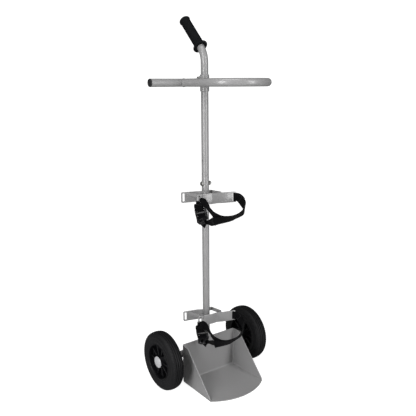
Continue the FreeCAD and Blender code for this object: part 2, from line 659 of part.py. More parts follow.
def buckle(prefix, z_mid):
    w = FRAME_HALF
    frame_body = box(-w, w, FRAME_BACK, FRAME_FRONT, FRAME_LOW, FRAME_TOP)
    upright = [e for e in frame_body.Edges if abs(e.BoundBox.YLength - FRAME_FRONT + FRAME_BACK) < 0.01]
    frame_body = frame_body.makeFillet(5.0, upright)
    window = w - 3.2
    window_low = FRAME_LOW + 9.0
    opening = box(-window, window, FRAME_BACK - 1, FRAME_FRONT + 1, window_low, FRAME_TOP - 8.5)
    frame_body = frame_body.cut(opening)
    throat = STRAP_W / 2 + 0.7
    throat_cut = box(-throat, throat, STRAP_Y - 1.6, STRAP_Y + 1.6, FRAME_LOW - 2, window_low + 1.0)
    frame_body = frame_body.cut(throat_cut)
    pin_axis = (-30, PIN_AT[1], PIN_AT[2])
    frame_body = frame_body.cut(cyl(PIN_R + 0.02, 60, pin_axis, (1, 0, 0)))
    save(place_buckle(frame_body, z_mid), prefix + "_buckle_frame")
    pin = cyl(PIN_R, 2 * w, (-w, PIN_AT[1], PIN_AT[2]), (1, 0, 0))
    save(place_buckle(pin, z_mid), prefix + "_buckle_pin")
    half = w - 3.6
    y = PIN_AT[1]
    z = PIN_AT[2]
    cam = cyl(CAM_R, 2 * half, (-half, y, z), (1, 0, 0))
    tongue = prism([(-half, y + 1.0, z - 4.0), (-half, y + 5.0, z), (-half, y + 8.2, z - 26.0),
                    (-half, y + 9.4, z - 42.0), (-half, y + 7.0, z - 43.0), (-half, y + 5.6, z - 27.0)],
                   (2 * half, 0, 0))
    cam = fuse([cam, tongue])
    cam = cam.cut(cyl(PIN_R + 0.06, 60, pin_axis, (1, 0, 0)))
    save(place_buckle(cam, z_mid), prefix + "_buckle_cam")
    # short webbing from the left slot: a folded triangle above, a flat run to the top bar
    half_w = STRAP_W / 2
    layer = STRAP_T
    triangle = [(half_w, -layer, 17.0), (half_w, -layer, -2.0), (-half_w, -layer, -2.0),
                (-half_w + 6.0, -layer, 5.0)]
    fold = prism(triangle, (0, 2 * layer, 0))
    run = box(-half_w, half_w, -layer, layer, FRAME_TOP + 0.02, -2.0)
    hanger = place_buckle(fuse([fold, run]), z_mid)
    loop = tip_loop(LEFT_TIP, left_dir, z_mid)
    joined = fuse([loop, hanger])
    save(joined, prefix + "_buckle_strap")
    pin_centre = buckle_point(*PIN_AT)
    pin_place = (pin_centre[0], COLUMN_Y - pin_centre[1], z_mid + pin_centre[2])
    print(prefix, "cam pin at", [round(v, 2) for v in pin_place])


for prefix, z_mid in (("lower", LOWER_Z), ("upper", UPPER_Z)):
    strap(prefix, z_mid)
    buckle(prefix, z_mid)
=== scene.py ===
# %% [markdown]
# # A hand cart for one gas cylinder
# The frame holds the metal at its true size. This file dresses it: rounded sheet edges, ribbed rubber, woven
# straps, cast buckles, weld beads and a finish for every surface. Everything is in metres in the frame's own axes.

import json
import math

import bmesh
import bpy
from mathutils import Matrix, Vector


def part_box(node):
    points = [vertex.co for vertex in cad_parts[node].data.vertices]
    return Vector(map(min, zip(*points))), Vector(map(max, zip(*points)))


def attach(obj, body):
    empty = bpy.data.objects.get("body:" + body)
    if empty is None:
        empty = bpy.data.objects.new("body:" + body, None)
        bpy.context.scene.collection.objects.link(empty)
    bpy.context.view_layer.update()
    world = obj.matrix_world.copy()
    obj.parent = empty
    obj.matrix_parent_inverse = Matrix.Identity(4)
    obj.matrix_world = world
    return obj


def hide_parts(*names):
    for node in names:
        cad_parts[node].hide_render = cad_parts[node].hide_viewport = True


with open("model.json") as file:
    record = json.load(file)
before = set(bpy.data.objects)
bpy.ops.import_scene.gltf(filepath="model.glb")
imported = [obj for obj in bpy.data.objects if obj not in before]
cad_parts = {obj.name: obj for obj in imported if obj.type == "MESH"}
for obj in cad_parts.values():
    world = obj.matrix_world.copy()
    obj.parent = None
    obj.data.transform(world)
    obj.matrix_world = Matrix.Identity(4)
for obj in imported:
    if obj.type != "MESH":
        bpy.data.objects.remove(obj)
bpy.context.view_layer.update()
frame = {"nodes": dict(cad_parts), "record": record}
home = {node: body for body, nodes in frame["record"]["behaviour"]["bodies"].items() for node in nodes}
MM = 0.001
print("frame loaded:", len(frame["nodes"]), "nodes")

# %% [markdown]
# ## Where things are
# The column and the wheels are read from the frame's boxes, and the other sizes repeat the frame's own in millimetres.
# A point of a bracket or a strap is given as (x, forward, up) from the column's axis, because that is how such a cart
# is drawn: everything on it is measured from the one tube.

# %% Driving places and sizes
tube_low, tube_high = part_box("lower_column")
COLUMN_Y = (tube_low.y + tube_high.y) / 2 / MM
TUBE_R = (tube_high.x - tube_low.x) / 2 / MM
PLATE_H = 37.0
PLATE_T = 3.0
WEBBING_W = 28.6
WEBBING_T = 1.8
LEVELS = {"lower": 232.0, "upper": 670.0}


def at(x, forward, up):
    """A place given from the column's axis, as a frame vector in metres."""
    return Vector((x, COLUMN_Y - forward, up)) * MM


print("column at y %.1f mm, radius %.1f mm" % (COLUMN_Y, TUBE_R))

# %% [markdown]
# ## Shared effects as node groups
# Powder coat, rubber and moulded plastic all need the same few ingredients: a fine grain, a slow drift of tone, a
# little dust on what faces up and a brighter line on edges: wear on the powder coat, a painted highlight on the
# black buckles. Each is a group with named sockets, so a material only says how much it wants. A group gives masks
# and colours; the shader stays in the material.

# %% Helpers for node trees


def add(tree, kind, links=None, **settings):
    """Add a node, set its fields, and link or fill its inputs."""
    made = tree.nodes.new(kind)
    for key, value in settings.items():
        setattr(made, key, value)
    for socket, source in (links or {}).items():
        if isinstance(source, bpy.types.NodeSocket):
            tree.links.new(source, made.inputs[socket])
        else:
            made.inputs[socket].default_value = source
    return made


def effect(name, inputs, outputs):
    """A new node group; inputs are (name, kind, default) and outputs (name, kind)."""
    tree = bpy.data.node_groups.new(name, "ShaderNodeTree")
    for label, kind, value in inputs:
        made = tree.interface.new_socket(label, in_out="INPUT", socket_type="NodeSocket" + kind)
        made.default_value = value
    for label, kind in outputs:
        tree.interface.new_socket(label, in_out="OUTPUT", socket_type="NodeSocket" + kind)
    return tree, add(tree, "NodeGroupInput"), add(tree, "NodeGroupOutput")


def maths(tree, operation, a, b=0.0, c=0.0):
    return add(tree, "ShaderNodeMath", {0: a, 1: b, 2: c}, operation=operation).outputs[0]


def noise(tree, scale, detail=2.0):
    place = add(tree, "ShaderNodeTexCoord").outputs["Object"]
    return add(tree, "ShaderNodeTexNoise", {"Vector": place, "Scale": scale, "Detail": detail}).outputs[0]


def fade(tree, value, low, high):
    """A value that runs from 0 at low to 1 at high."""
    return add(tree, "ShaderNodeMapRange", {"Value": value, "From Min": low, "From Max": high}).outputs[0]


print("node helpers:", [helper.__name__ for helper in (add, effect, maths, noise, fade)])

# %% Grain: a fine pebbled height, such as powder coat or moulded plastic has
GRAIN, start, end = effect("Grain", [("Scale", "Float", 900.0)], [("Height", "Float")])
coarse = noise(GRAIN, start.outputs["Scale"], 1.0)
fine_scale = maths(GRAIN, "MULTIPLY", start.outputs["Scale"], 2.7)
fine = noise(GRAIN, fine_scale, 2.0)
both = maths(GRAIN, "MULTIPLY_ADD", fine, 0.35, coarse)
GRAIN.links.new(both, end.inputs["Height"])
print(GRAIN.name, "has", len(GRAIN.nodes), "nodes")

# %% Drift: slow changes of tone and of roughness over a surface
DRIFT, start, end = effect("Drift", [("Color", "Color", (0.5, 0.5, 0.5, 1)), ("Scale", "Float", 14.0),
                                     ("Amount", "Float", 0.1)], [("Color", "Color"), ("Mask", "Float")])
cloud = noise(DRIFT, start.outputs["Scale"], 4.0)
shift = maths(DRIFT, "SUBTRACT", cloud, 0.5)
gain = maths(DRIFT, "MULTIPLY_ADD", shift, start.outputs["Amount"], 1.0)
tone = add(DRIFT, "ShaderNodeVectorMath", {0: start.outputs["Color"], "Scale": gain}, operation="SCALE")
DRIFT.links.new(tone.outputs[0], end.inputs["Color"])
DRIFT.links.new(cloud, end.inputs["Mask"])
print(DRIFT.name, "has", len(DRIFT.nodes), "nodes")

# %% Dust: thin pale dust on what faces up, broken into patches
DUST, start, end = effect("Dust", [("Amount", "Float", 0.3)], [("Mask", "Float")])
facing = add(DUST, "ShaderNodeNewGeometry").outputs["Normal"]
upward = add(DUST, "ShaderNodeSeparateXYZ", {0: facing}).outputs["Z"]
level = fade(DUST, upward, 0.2, 1.0)
patches = fade(DUST, noise(DUST, 60.0, 5.0), 0.35, 0.7)
settled = maths(DUST, "MULTIPLY", level, patches)
DUST.links.new(maths(DUST, "MULTIPLY", settled, start.outputs["Amount"]), end.inputs["Mask"])
print(DUST.name, "has", len(DUST.nodes), "nodes")

# %% Edge wear and painted highlight: a paler line where the surface turns within a millimetre, broken up by noise
EDGE_WEAR_AND_HIGHLIGHT, start, end = effect("Edge wear and highlight", [("Radius", "Float", 0.001), ("Amount", "Float", 0.5)], [("Mask", "Float")])
softened = add(EDGE_WEAR_AND_HIGHLIGHT, "ShaderNodeBevel", {"Radius": start.outputs["Radius"]}, samples=4).outputs[0]
plain = add(EDGE_WEAR_AND_HIGHLIGHT, "ShaderNodeNewGeometry").outputs["Normal"]
agree = add(EDGE_WEAR_AND_HIGHLIGHT, "ShaderNodeVectorMath", {0: softened, 1: plain}, operation="DOT_PRODUCT").outputs["Value"]
turned_away = fade(EDGE_WEAR_AND_HIGHLIGHT, agree, 0.995, 0.9)
broken = fade(EDGE_WEAR_AND_HIGHLIGHT, noise(EDGE_WEAR_AND_HIGHLIGHT, 260.0, 4.0), 0.42, 0.6)
worn_and_lit_edge = maths(EDGE_WEAR_AND_HIGHLIGHT, "MULTIPLY", turned_away, broken)
EDGE_WEAR_AND_HIGHLIGHT.links.new(maths(EDGE_WEAR_AND_HIGHLIGHT, "MULTIPLY", worn_and_lit_edge, start.outputs["Amount"]), end.inputs["Mask"])
print(EDGE_WEAR_AND_HIGHLIGHT.name, "has", len(EDGE_WEAR_AND_HIGHLIGHT.nodes), "nodes")

# %% Weave: raised yarns of flat webbing, from the "along" and "across" values stored on the straps
WEAVE, start, end = effect("Weave", [("Yarn", "Float", 1.3), ("Rib", "Float", 1.7)],
                           [("Height", "Float"), ("Mask", "Float")])
along = add(WEAVE, "ShaderNodeAttribute", attribute_name="along").outputs["Fac"]
across = add(WEAVE, "ShaderNodeAttribute", attribute_name="across").outputs["Fac"]
column = maths(WEAVE, "DIVIDE", across, start.outputs["Yarn"])
step = maths(WEAVE, "MULTIPLY", maths(WEAVE, "FLOOR", column), 0.5)
rise = maths(WEAVE, "ADD", maths(WEAVE, "DIVIDE", along, start.outputs["Rib"]), step)
yarn = maths(WEAVE, "ABSOLUTE", maths(WEAVE, "SINE", maths(WEAVE, "MULTIPLY", column, math.pi)))
knuckle = maths(WEAVE, "ABSOLUTE", maths(WEAVE, "SINE", maths(WEAVE, "MULTIPLY", rise, math.pi)))
cloth = maths(WEAVE, "MULTIPLY", maths(WEAVE, "POWER", yarn, 0.6), maths(WEAVE, "POWER", knuckle, 0.7))
WEAVE.links.new(cloth, end.inputs["Height"])
# The mask is low in the gaps between yarns; the webbing finish uses it to paint shade there.
WEAVE.links.new(cloth, end.inputs["Mask"])
print("effects:", [tree.name for tree in (GRAIN, DRIFT, DUST, EDGE_WEAR_AND_HIGHLIGHT, WEAVE)])

# %% [markdown]
# ## Finishes
# One function lays out a finish: a base colour that drifts, grain as bump, and optional dust and paler edges mixed
# over it; the paler edges are wear on the paint and a painted highlight on the buckles. Each real material then
# differs in its numbers only, which keeps the finishes easy to compare and to tune.

# %% The common layout of a finish


def place_group(tree, group, links):
    return add(tree, "ShaderNodeGroup", links, node_tree=group)


def blend_colour(tree, mask, a, b):
    mix = add(tree, "ShaderNodeMix", data_type="RGBA")
    tree.links.new(mask, mix.inputs["Factor"])
    for slot, value in (("A", a), ("B", b)):
        socket = next(s for s in mix.inputs if s.name == slot and s.type == "RGBA")
        if isinstance(value, bpy.types.NodeSocket):
            tree.links.new(value, socket)
        else:
            socket.default_value = (*value, 1)
    return next(s for s in mix.outputs if s.type == "RGBA")


def finish(name, colour, roughness, grain=900.0, bump=0.15, depth=0.0001, drift=0.1, drift_scale=14.0, spread=0.08,
           dust=0.0, dust_colour=(0.35, 0.34, 0.32), edge_wear_and_highlight=0.0, edge_wear_and_highlight_colour=(0.5, 0.5, 0.5), metallic=0.0, coat=0.0,
           coat_roughness=0.2, specular=0.5):
    """A material from the shared effects; roughness wanders by spread."""
    made = bpy.data.materials.new(name)
    made.use_nodes = True
    tree = made.node_tree
    shader = tree.nodes["Principled BSDF"]
    shader.inputs["Metallic"].default_value = metallic
    shader.inputs["Coat Weight"].default_value = coat
    shader.inputs["Coat Roughness"].default_value = coat_roughness
    shader.inputs["Specular IOR Level"].default_value = specular
    tone = place_group(tree, DRIFT, {"Color": (*colour, 1), "Scale": drift_scale, "Amount": drift})
    base = tone.outputs["Color"]
    if dust:
        mask = place_group(tree, DUST, {"Amount": dust}).outputs["Mask"]
        base = blend_colour(tree, mask, base, dust_colour)
    # Paler edges: wear on the powder coat, a painted highlight on the black buckles.
    if edge_wear_and_highlight:
        mask = place_group(tree, EDGE_WEAR_AND_HIGHLIGHT, {"Radius": 0.0012, "Amount": edge_wear_and_highlight}).outputs["Mask"]
        base = blend_colour(tree, mask, base, edge_wear_and_highlight_colour)
    tree.links.new(base, shader.inputs["Base Color"])
    wander = add(tree, "ShaderNodeMapRange", {"Value": tone.outputs["Mask"], "From Min": 0.3, "From Max": 0.7,
                                              "To Min": roughness - spread, "To Max": roughness + spread})
    tree.links.new(wander.outputs[0], shader.inputs["Roughness"])
    height = place_group(tree, GRAIN, {"Scale": grain}).outputs["Height"]
    relief = add(tree, "ShaderNodeBump", {"Height": height, "Strength": bump, "Distance": depth})
    tree.links.new(relief.outputs[0], shader.inputs["Normal"])
    return made


print("finish helpers:", [helper.__name__ for helper in (place_group, blend_colour, finish)])

# %% [markdown]
# The steel is coated with a grey powder that is baked on. It has a faint orange peel and a satin sheen, so it gets a
# coat layer over a base of middle roughness. Edges that rub are a little paler, and dust settles on what faces up.
# A plain grey would look like plastic, because it has one roughness everywhere.

# %% Grey powder coat
grey_paint = finish("grey powder coat", (0.262, 0.260, 0.262), 0.42, grain=520.0, bump=0.12, depth=0.00012, drift=0.06,
                    drift_scale=9.0, spread=0.05, dust=0.05, edge_wear_and_highlight=0.12, edge_wear_and_highlight_colour=(0.42, 0.42, 0.42), coat=0.6,
                    coat_roughness=0.17)

print(grey_paint.name, "has", len(grey_paint.node_tree.nodes), "nodes")

# %% [markdown]
# The bolt, its nut, the washers and the clamp screw are plated with zinc: bare metal, pale and slightly warm, dulled by
# handling. Metallic at 1 makes it metal, and a fine grain with a wandering roughness stands for the turning marks.

# %% Zinc plate
zinc = finish("zinc plate", (0.34, 0.34, 0.33), 0.5, grain=2400.0, bump=0.2, depth=0.00005, drift=0.25,
              drift_scale=90.0, spread=0.1, metallic=1.0)
print(zinc.name, "has", len(zinc.node_tree.nodes), "nodes")

# %% [markdown]
# Grip, tyres, rims, plugs and buckles are all black, yet they take the light in different ways. Rubber reflects little
# and scatters it, so its specular level is low and its roughness high. The moulded rims and the coated buckles are
# glossier. Base colours near 0.005 leave room for the highlights to draw the shape.

# %% Rubbers and plastics
grip_rubber = finish("grip rubber", (0.0035, 0.004, 0.005), 0.7, grain=1500.0, bump=0.3, drift=0.3,
                     drift_scale=40.0, dust=0.01, dust_colour=(0.06, 0.06, 0.058), specular=0.1)
tyre_rubber = finish("tyre rubber", (0.0052, 0.0052, 0.006), 0.6, grain=1100.0, bump=0.3, depth=0.00015, drift=0.35,
                     drift_scale=30.0, dust=0.025, dust_colour=(0.06, 0.058, 0.055), specular=0.22)
rim_plastic = finish("rim plastic", (0.0035, 0.0035, 0.0045), 0.42, grain=1800.0, bump=0.2, drift=0.3, drift_scale=30.0,
                     dust=0.01, dust_colour=(0.06, 0.06, 0.06), specular=0.18)
cap_plastic = finish("hub cap plastic", (0.5, 0.5, 0.515), 0.28, grain=2500.0, bump=0.04, drift=0.03, spread=0.03,
                     coat=0.4, coat_roughness=0.1)
plug_plastic = finish("plug plastic", (0.012, 0.012, 0.013), 0.45, grain=1600.0, bump=0.25, drift=0.2)
bush_plastic = finish("bush plastic", (0.42, 0.41, 0.38), 0.4, grain=1800.0, bump=0.1, drift=0.1)
# The buckle's paler edges are a painted highlight, not wear.
buckle_black = finish("black buckle coat", (0.0055, 0.0055, 0.0065), 0.4, grain=1300.0, bump=0.2, drift=0.3,
                      drift_scale=60.0, edge_wear_and_highlight=0.35, edge_wear_and_highlight_colour=(0.1, 0.1, 0.105), coat=0.1, coat_roughness=0.3,
                      specular=0.35)
thread = finish("black thread", (0.02, 0.02, 0.023), 0.7, grain=3000.0, bump=0.5, drift=0.2)

print("blacks and pale plastics:", [made.name for made in (grip_rubber, tyre_rubber, rim_plastic, cap_plastic,
                                                           plug_plastic, bush_plastic, buckle_black, thread)])

# %% [markdown]
# The straps are woven black nylon. They could be modelled yarn by yarn, but at this size the weave only shows as a
# fine rib, so it is a height that feeds a bump, and the gaps between the yarns are darkened as painted shade.

# %% Webbing
webbing = finish("black webbing", (0.0034, 0.0034, 0.004), 0.75, grain=4000.0, bump=0.2, depth=0.00003, drift=0.3,
                 drift_scale=50.0, specular=0.07)
tree = webbing.node_tree
shader = tree.nodes["Principled BSDF"]
shader.inputs["Sheen Weight"].default_value = 0.03
shader.inputs["Sheen Roughness"].default_value = 0.4
cloth = place_group(tree, WEAVE, {"Yarn": 1.3, "Rib": 1.7})
base = shader.inputs["Base Color"].links[0].from_socket
# Painted shade: the gaps between the yarns are darkened where the weave height is low.
painted_gap_shade = blend_colour(tree, cloth.outputs["Mask"], (0.0015, 0.0015, 0.002), base)
tree.links.new(painted_gap_shade, shader.inputs["Base Color"])
relief = shader.inputs["Normal"].links[0].from_node
ribs = add(tree, "ShaderNodeBump", {"Height": cloth.outputs["Height"], "Strength": 0.7, "Distance": 0.0004,
                                    "Normal": relief.outputs[0]})
tree.links.new(ribs.outputs[0], shader.inputs["Normal"])

SLOT_FINISH = {"grey_paint": grey_paint, "zinc_steel": zinc, "grip_rubber": grip_rubber, "tyre_rubber": tyre_rubber,
               "rim_plastic": rim_plastic, "bush_plastic": bush_plastic, "cap_plastic": cap_plastic,
               "plug_plastic": plug_plastic, "buckle_black": buckle_black, "webbing": webbing}
slot_of = {row["node"]: row["material_slot"] for row in frame["record"]["subparts"]}
print("finishes:", len(SLOT_FINISH))

# %% [markdown]
# ## The frame's own nodes
# Tubes, bolts, washers and the axle already have their true shape, so they stay. A real cut edge is never razor
# sharp, so each gets a narrow bevel and weighted normals as modifiers, which leave its mesh alone, and a finish.

# %% Dress the nodes that stay
CAD_BEVEL = {"column_bolt": 0.35, "column_nut": 0.3, "clamp_screw": 0.3, "bolt_washers": 0.25, "retaining_rings": 0.2}
for node, ob in frame["nodes"].items():
    ob.data.materials.clear()
    ob.data.materials.append(SLOT_FINISH[slot_of[node]])
    edge = ob.modifiers.new("edge", "BEVEL")
    edge.width = CAD_BEVEL.get(node, 0.4) * MM
    edge.segments = 2
    edge.limit_method = "ANGLE"
    edge.angle_limit = math.radians(50)
    edge.use_clamp_overlap = True
    normals = ob.modifiers.new("normals", "WEIGHTED_NORMAL")
    normals.keep_sharp = False
    ob.data.shade_smooth()
print("nodes dressed:", len(frame["nodes"]))

# %% [markdown]
# ## Shape helpers
# Nearly every piece of a cart is one of four things: something turned on an axis, a bar or bead that follows a line,
# a flat blank that is bent along a line, or webbing. One helper each keeps the pieces short. The blank starts as a
# filled curve, because a filled curve takes holes and rounded edges in one step; it is then cut across where it
# bends, so that the bend has faces to follow.

# %% Make a piece from points and faces


def show(name, data):
    """A new object in the scene for a mesh, a light or a camera."""
    ob = bpy.data.objects.new(name, data)
    bpy.context.scene.collection.objects.link(ob)
    return ob


def piece(name, shape, node=None, body=None, slot=None, skin=None, extra=False, sharp=38.0, values=None):
    """A mesh from (points, faces) that rides on a body.

    Node gives the body, slot and finish, and the piece takes that node's place unless it is extra. Values are numbers
    for each point that a finish reads; such a mesh keeps all its points."""
    mesh = bpy.data.meshes.new(name)
    mesh.from_pydata([tuple(v) for v in shape[0]], [], shape[1])
    for label, numbers in (values or {}).items():
        mesh.attributes.new(label, "FLOAT", "POINT").data.foreach_set("value", numbers)
    work = bmesh.new()
    work.from_mesh(mesh)
    if not values:
        bmesh.ops.remove_doubles(work, verts=work.verts, dist=1e-7)
    bmesh.ops.recalc_face_normals(work, faces=work.faces)
    work.to_mesh(mesh)
    work.free()
    mesh.shade_smooth()
    mesh.set_sharp_from_angle(angle=math.radians(sharp))
    slot = slot or slot_of[node]
    mesh.materials.append(skin or SLOT_FINISH[slot])
    ob = show(name, mesh)
    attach(ob, body or home[node])
    if node and not extra:
        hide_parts(node)
    return ob


def ring_faces(rings, around, closed):
    """Quads between rings of equal length, with the last joined to the first if closed."""
    faces = []
    for i in range(rings if closed else rings - 1):
        j = (i + 1) % rings
        for k in range(around):
            m = (k + 1) % around
            faces.append((i * around + k, i * around + m, j * around + m, j * around + k))
    return faces


print("faces of a tube of 3 rings of 8:", len(ring_faces(3, 8, False)))

# %% Round off the corners of an outline


def rounded(points, radius, steps=4):
    """Corner points with arcs in place of corners; radius is one value or one for each corner."""
    radii = radius if isinstance(radius, (list, tuple)) else [radius] * len(points)
    out = []
    n = len(points)
    for i in range(n):
        a, b, c = (Vector((*points[(i + k) % n], 0)) for k in (-1, 0, 1))
        u, w = a - b, c - b
        r = min(radii[i], 0.49 * u.length * 1.9, 0.49 * w.length * 1.9)
        angle = u.angle(w, math.pi)
        if r < 1e-6 or angle > math.radians(179):
            out.append((b.x, b.y))
            continue
        reach = min(r / math.tan(angle / 2), 0.48 * u.length, 0.48 * w.length)
        p, q = b + u.normalized() * reach, b + w.normalized() * reach
        for k in range(steps + 1):
            t = k / steps
            v = p * (1 - t) ** 2 + b * 2 * t * (1 - t) + q * t ** 2
            out.append((v.x, v.y))
    return out


print("points of a rounded square:", len(rounded([(0, 0), (1, 0), (1, 1), (0, 1)], 0.2)))

# %% Turn an outline about an axis


def turned(profile, origin, axis, steps=96, ripple=None):
    """Points and faces of an outline of (along, radius) turned about an axis; ripple(along, r, angle) moves r."""
    axis = Vector(axis).normalized()
    side = axis.orthogonal().normalized()
    other = axis.cross(side)
    verts = []
    for x, r in profile:
        for k in range(steps):
            a = 2 * math.pi * k / steps
            rr = r + (ripple(x, r, a) if ripple else 0.0)
            verts.append(origin + (axis * x + side * (rr * math.cos(a)) + other * (rr * math.sin(a))) * MM)
    return verts, ring_faces(len(profile), steps, True)


washer = turned([(0, 5), (0, 9), (1, 9), (1, 5)], at(0, 0, 0), (1, 0, 0))
print("points of a turned washer:", len(washer[0]))


# %% Sweep a round section along a line


def line_frames(points, closed=False):
    """Tangent and two side vectors at each point, carried along without twisting."""
    n = len(points)
    out = []
    side = None
    for i, p in enumerate(points):
        before = points[i - 1] if closed or i else points[i]
        after = points[(i + 1) % n] if closed or i < n - 1 else points[i]
        tangent = (after - before).normalized()
        side = tangent.orthogonal().normalized() if side is None else (side - tangent * side.dot(tangent)).normalized()
        out.append((p, tangent, side, tangent.cross(side)))
    return out


def rod(points, radius, around=12, closed=False, ripple=0.0, pitch=2.5):
    """A solid round bar or bead along points in metres; radius and pitch are in millimetres."""
    frames = line_frames(points, closed)
    verts, travelled = [], 0.0
    last = points[0]
    rows = 0
    for i, (p, tangent, side, other) in enumerate(frames):
        travelled += (p - last).length / MM
        last = p
        r = radius * (1 + ripple * math.sin(2 * math.pi * travelled / pitch))
        caps = [(0.0, 1.0)]
        if not closed and i == 0:
            caps = [(-0.9, 0.05), (-0.6, 0.7), (0.0, 1.0)]
        if not closed and i == len(frames) - 1:
            caps = [(0.0, 1.0), (0.6, 0.7), (0.9, 0.05)]
        for shift, share in caps:
            rows += 1
            for k in range(around):
                a = 2 * math.pi * k / around
                verts.append(p + (tangent * shift * r + (side * math.cos(a) + other * math.sin(a)) * r * share) * MM)
    faces = ring_faces(rows, around, closed)
    if not closed:
        faces += [tuple(range(around)), tuple(range((rows - 1) * around, rows * around))]
    return verts, faces


def joined(parts):
    """Several (verts, faces) as one."""
    verts, faces = [], []
    for v, f in parts:
        base = len(verts)
        verts += v
        faces += [tuple(i + base for i in face) for face in f]
    return verts, faces


print("faces of a straight rod:", len(rod([at(0, 0, 0), at(9, 0, 0)], 1.0)[1]))

# %% Cut a flat blank with holes


def blank(outline, holes, thick, edge):
    """A flat plate from closed outlines in millimetres, centred in z, with rounded edges."""
    curve = bpy.data.curves.new("blank", "CURVE")
    curve.dimensions = "2D"
    curve.fill_mode = "BOTH"
    for loop in [outline] + list(holes):
        spline = curve.splines.new("POLY")
        spline.points.add(len(loop) - 1)
        for point, (x, y) in zip(spline.points, loop):
            point.co = (x, y, 0, 1)
        spline.use_cyclic_u = True
    curve.extrude = thick / 2 - edge
    curve.bevel_depth = edge
    curve.offset = -edge
    curve.bevel_resolution = 2
    ob = bpy.data.objects.new("blank", curve)
    mesh = bpy.data.meshes.new_from_object(ob)
    bpy.data.objects.remove(ob)
    bpy.data.curves.remove(curve)
    return mesh


def placed_blank(outline, thick, edge, place):
    """Points and faces of a blank whose points are moved by place(x, y, z)."""
    mesh = blank(outline, [], thick, edge)
    verts = [place(*v.co) for v in mesh.vertices]
    faces = [tuple(p.vertices) for p in mesh.polygons]
    bpy.data.meshes.remove(mesh)
    return verts, faces


print("flat plate helpers:", [helper.__name__ for helper in (blank, placed_blank)])

# %% Bend a blank along a line


def bent_plate(outline, holes, thick, edge, line, cross):
    """A blank whose x follows a line of points in millimetres and whose y runs along cross."""
    mesh = blank(outline, holes, thick, edge)
    work = bmesh.new()
    work.from_mesh(mesh)
    bmesh.ops.remove_doubles(work, verts=work.verts, dist=1e-4)
    stops = [0.0]
    for a, b in zip(line, line[1:]):
        stops.append(stops[-1] + (b - a).length)
    for s in stops[1:-1]:
        geometry = work.verts[:] + work.edges[:] + work.faces[:]
        bmesh.ops.bisect_plane(work, geom=geometry, plane_co=(s, 0, 0), plane_no=(1, 0, 0), dist=1e-4)
    work.verts.index_update()
    frames = [f[:2] for f in line_frames(line)]
    cross = Vector(cross).normalized()
    verts = []
    for v in work.verts:
        s = v.co.x
        i = max(k for k in range(len(stops) - 1) if stops[k] <= s + 1e-6 or k == 0)
        t = (s - stops[i]) / (stops[i + 1] - stops[i])
        place = line[i].lerp(line[i + 1], t)
        share = min(max(t, 0.0), 1.0)
        tangent = frames[i][1].lerp(frames[i + 1][1], share).normalized()
        out = tangent.cross(cross).normalized()
        verts.append((place + cross * v.co.y + out * v.co.z) * MM)
    faces = [tuple(v.index for v in f.verts) for f in work.faces]
    work.free()
    bpy.data.meshes.remove(mesh)
    return verts, faces


def rounded_line(points, radius, steps=6):
    """A line with its inner corners as arcs; points and result are vectors in millimetres."""
    out = [points[0]]
    for a, b, c in zip(points, points[1:], points[2:]):
        u, w = (a - b).normalized(), (c - b).normalized()
        half = u.angle(w) / 2
        reach = radius / math.tan(half)
        middle = b + (u + w).normalized() * (radius / math.sin(half))
        p, q = b + u * reach, b + w * reach
        for k in range(steps + 1):
            v = (p - middle).slerp(q - middle, k / steps)
            out.append(middle + v)
    out.append(points[-1])
    return out


print("bending helpers:", [helper.__name__ for helper in (bent_plate, rounded_line)])

# %% [markdown]
# ## The tray
# The real tray is one sheet of steel whose sides and back are folded up from the floor. Separate slabs would show
# seams that aren't there, so the sheet's inner face is drawn as flat polygons that share their fold lines. The folds
# are bevelled to arcs, a solidify modifier gives the sheet its thickness outwards, and a last small bevel takes the
# sharpness off the cut edges.

# %% Fold the tray
SHEET = 3.0
TRAY_IN = 116.0
TRAY_BACK = 15.5
SIDE_END = 178.0
LIP = 219.0
WALL_TOP = 148.2
SIDE_LEVEL = 50.0
SIDE_DROP = 4.0
FOLD_R = 5.5


def tray_outline():
    """The lip as an arc through both ends of the sides and the middle of the front."""
    half, rise = TRAY_IN + SHEET, LIP - SIDE_END
    radius = (half ** 2 + rise ** 2) / (2 * rise)
    reach = math.asin(half / radius)
    points = []
    for k in range(41):
        a = -reach + 2 * reach * k / 40
        points.append((radius * math.sin(a), LIP - radius + radius * math.cos(a)))
    points[0] = (-half, SIDE_END + 1.2)
    points[-1] = (half, SIDE_END + 1.2)
    return points


work = bmesh.new()
known = {}


def corner(x, forward, up):
    key = (round(x, 3), round(forward, 3), round(up, 3))
    if key not in known:
        known[key] = work.verts.new(at(x, forward, up))
    return known[key]


def sheet_face(points):
    return work.faces.new([corner(*p) for p in points])


floor_face = sheet_face([(-TRAY_IN, TRAY_BACK, SHEET), (-TRAY_IN, SIDE_END, SHEET)]
                        + [(x, f, SHEET) for x, f in tray_outline()]
                        + [(TRAY_IN, SIDE_END, SHEET), (TRAY_IN, TRAY_BACK, SHEET)])
sheet_face([(-TRAY_IN, TRAY_BACK, SHEET), (TRAY_IN, TRAY_BACK, SHEET), (TRAY_IN, TRAY_BACK, WALL_TOP),
            (-TRAY_IN, TRAY_BACK, WALL_TOP)])
for side in (-1, 1):
    x = side * TRAY_IN
    profile = rounded([(TRAY_BACK, SHEET), (TRAY_BACK, WALL_TOP), (SIDE_LEVEL, WALL_TOP - SIDE_DROP),
                       (SIDE_END - 1.5, SHEET + 5.5), (SIDE_END, SHEET)], [0.0, 0.0, 16.0, 0.0, 0.0], 6)
    sheet_face([(x, f, up) for f, up in profile])
bmesh.ops.recalc_face_normals(work, faces=work.faces)
floor_face.normal_update()
if floor_face.normal.z < 0:
    bmesh.ops.reverse_faces(work, faces=work.faces)
folds = [e for e in work.edges if len(e.link_faces) == 2 and e.calc_face_angle(0) > math.radians(60)]
bmesh.ops.bevel(work, geom=folds, offset=FOLD_R * MM, segments=5, profile=0.5, affect="EDGES", clamp_overlap=False)
print("tray folds:", len(folds))

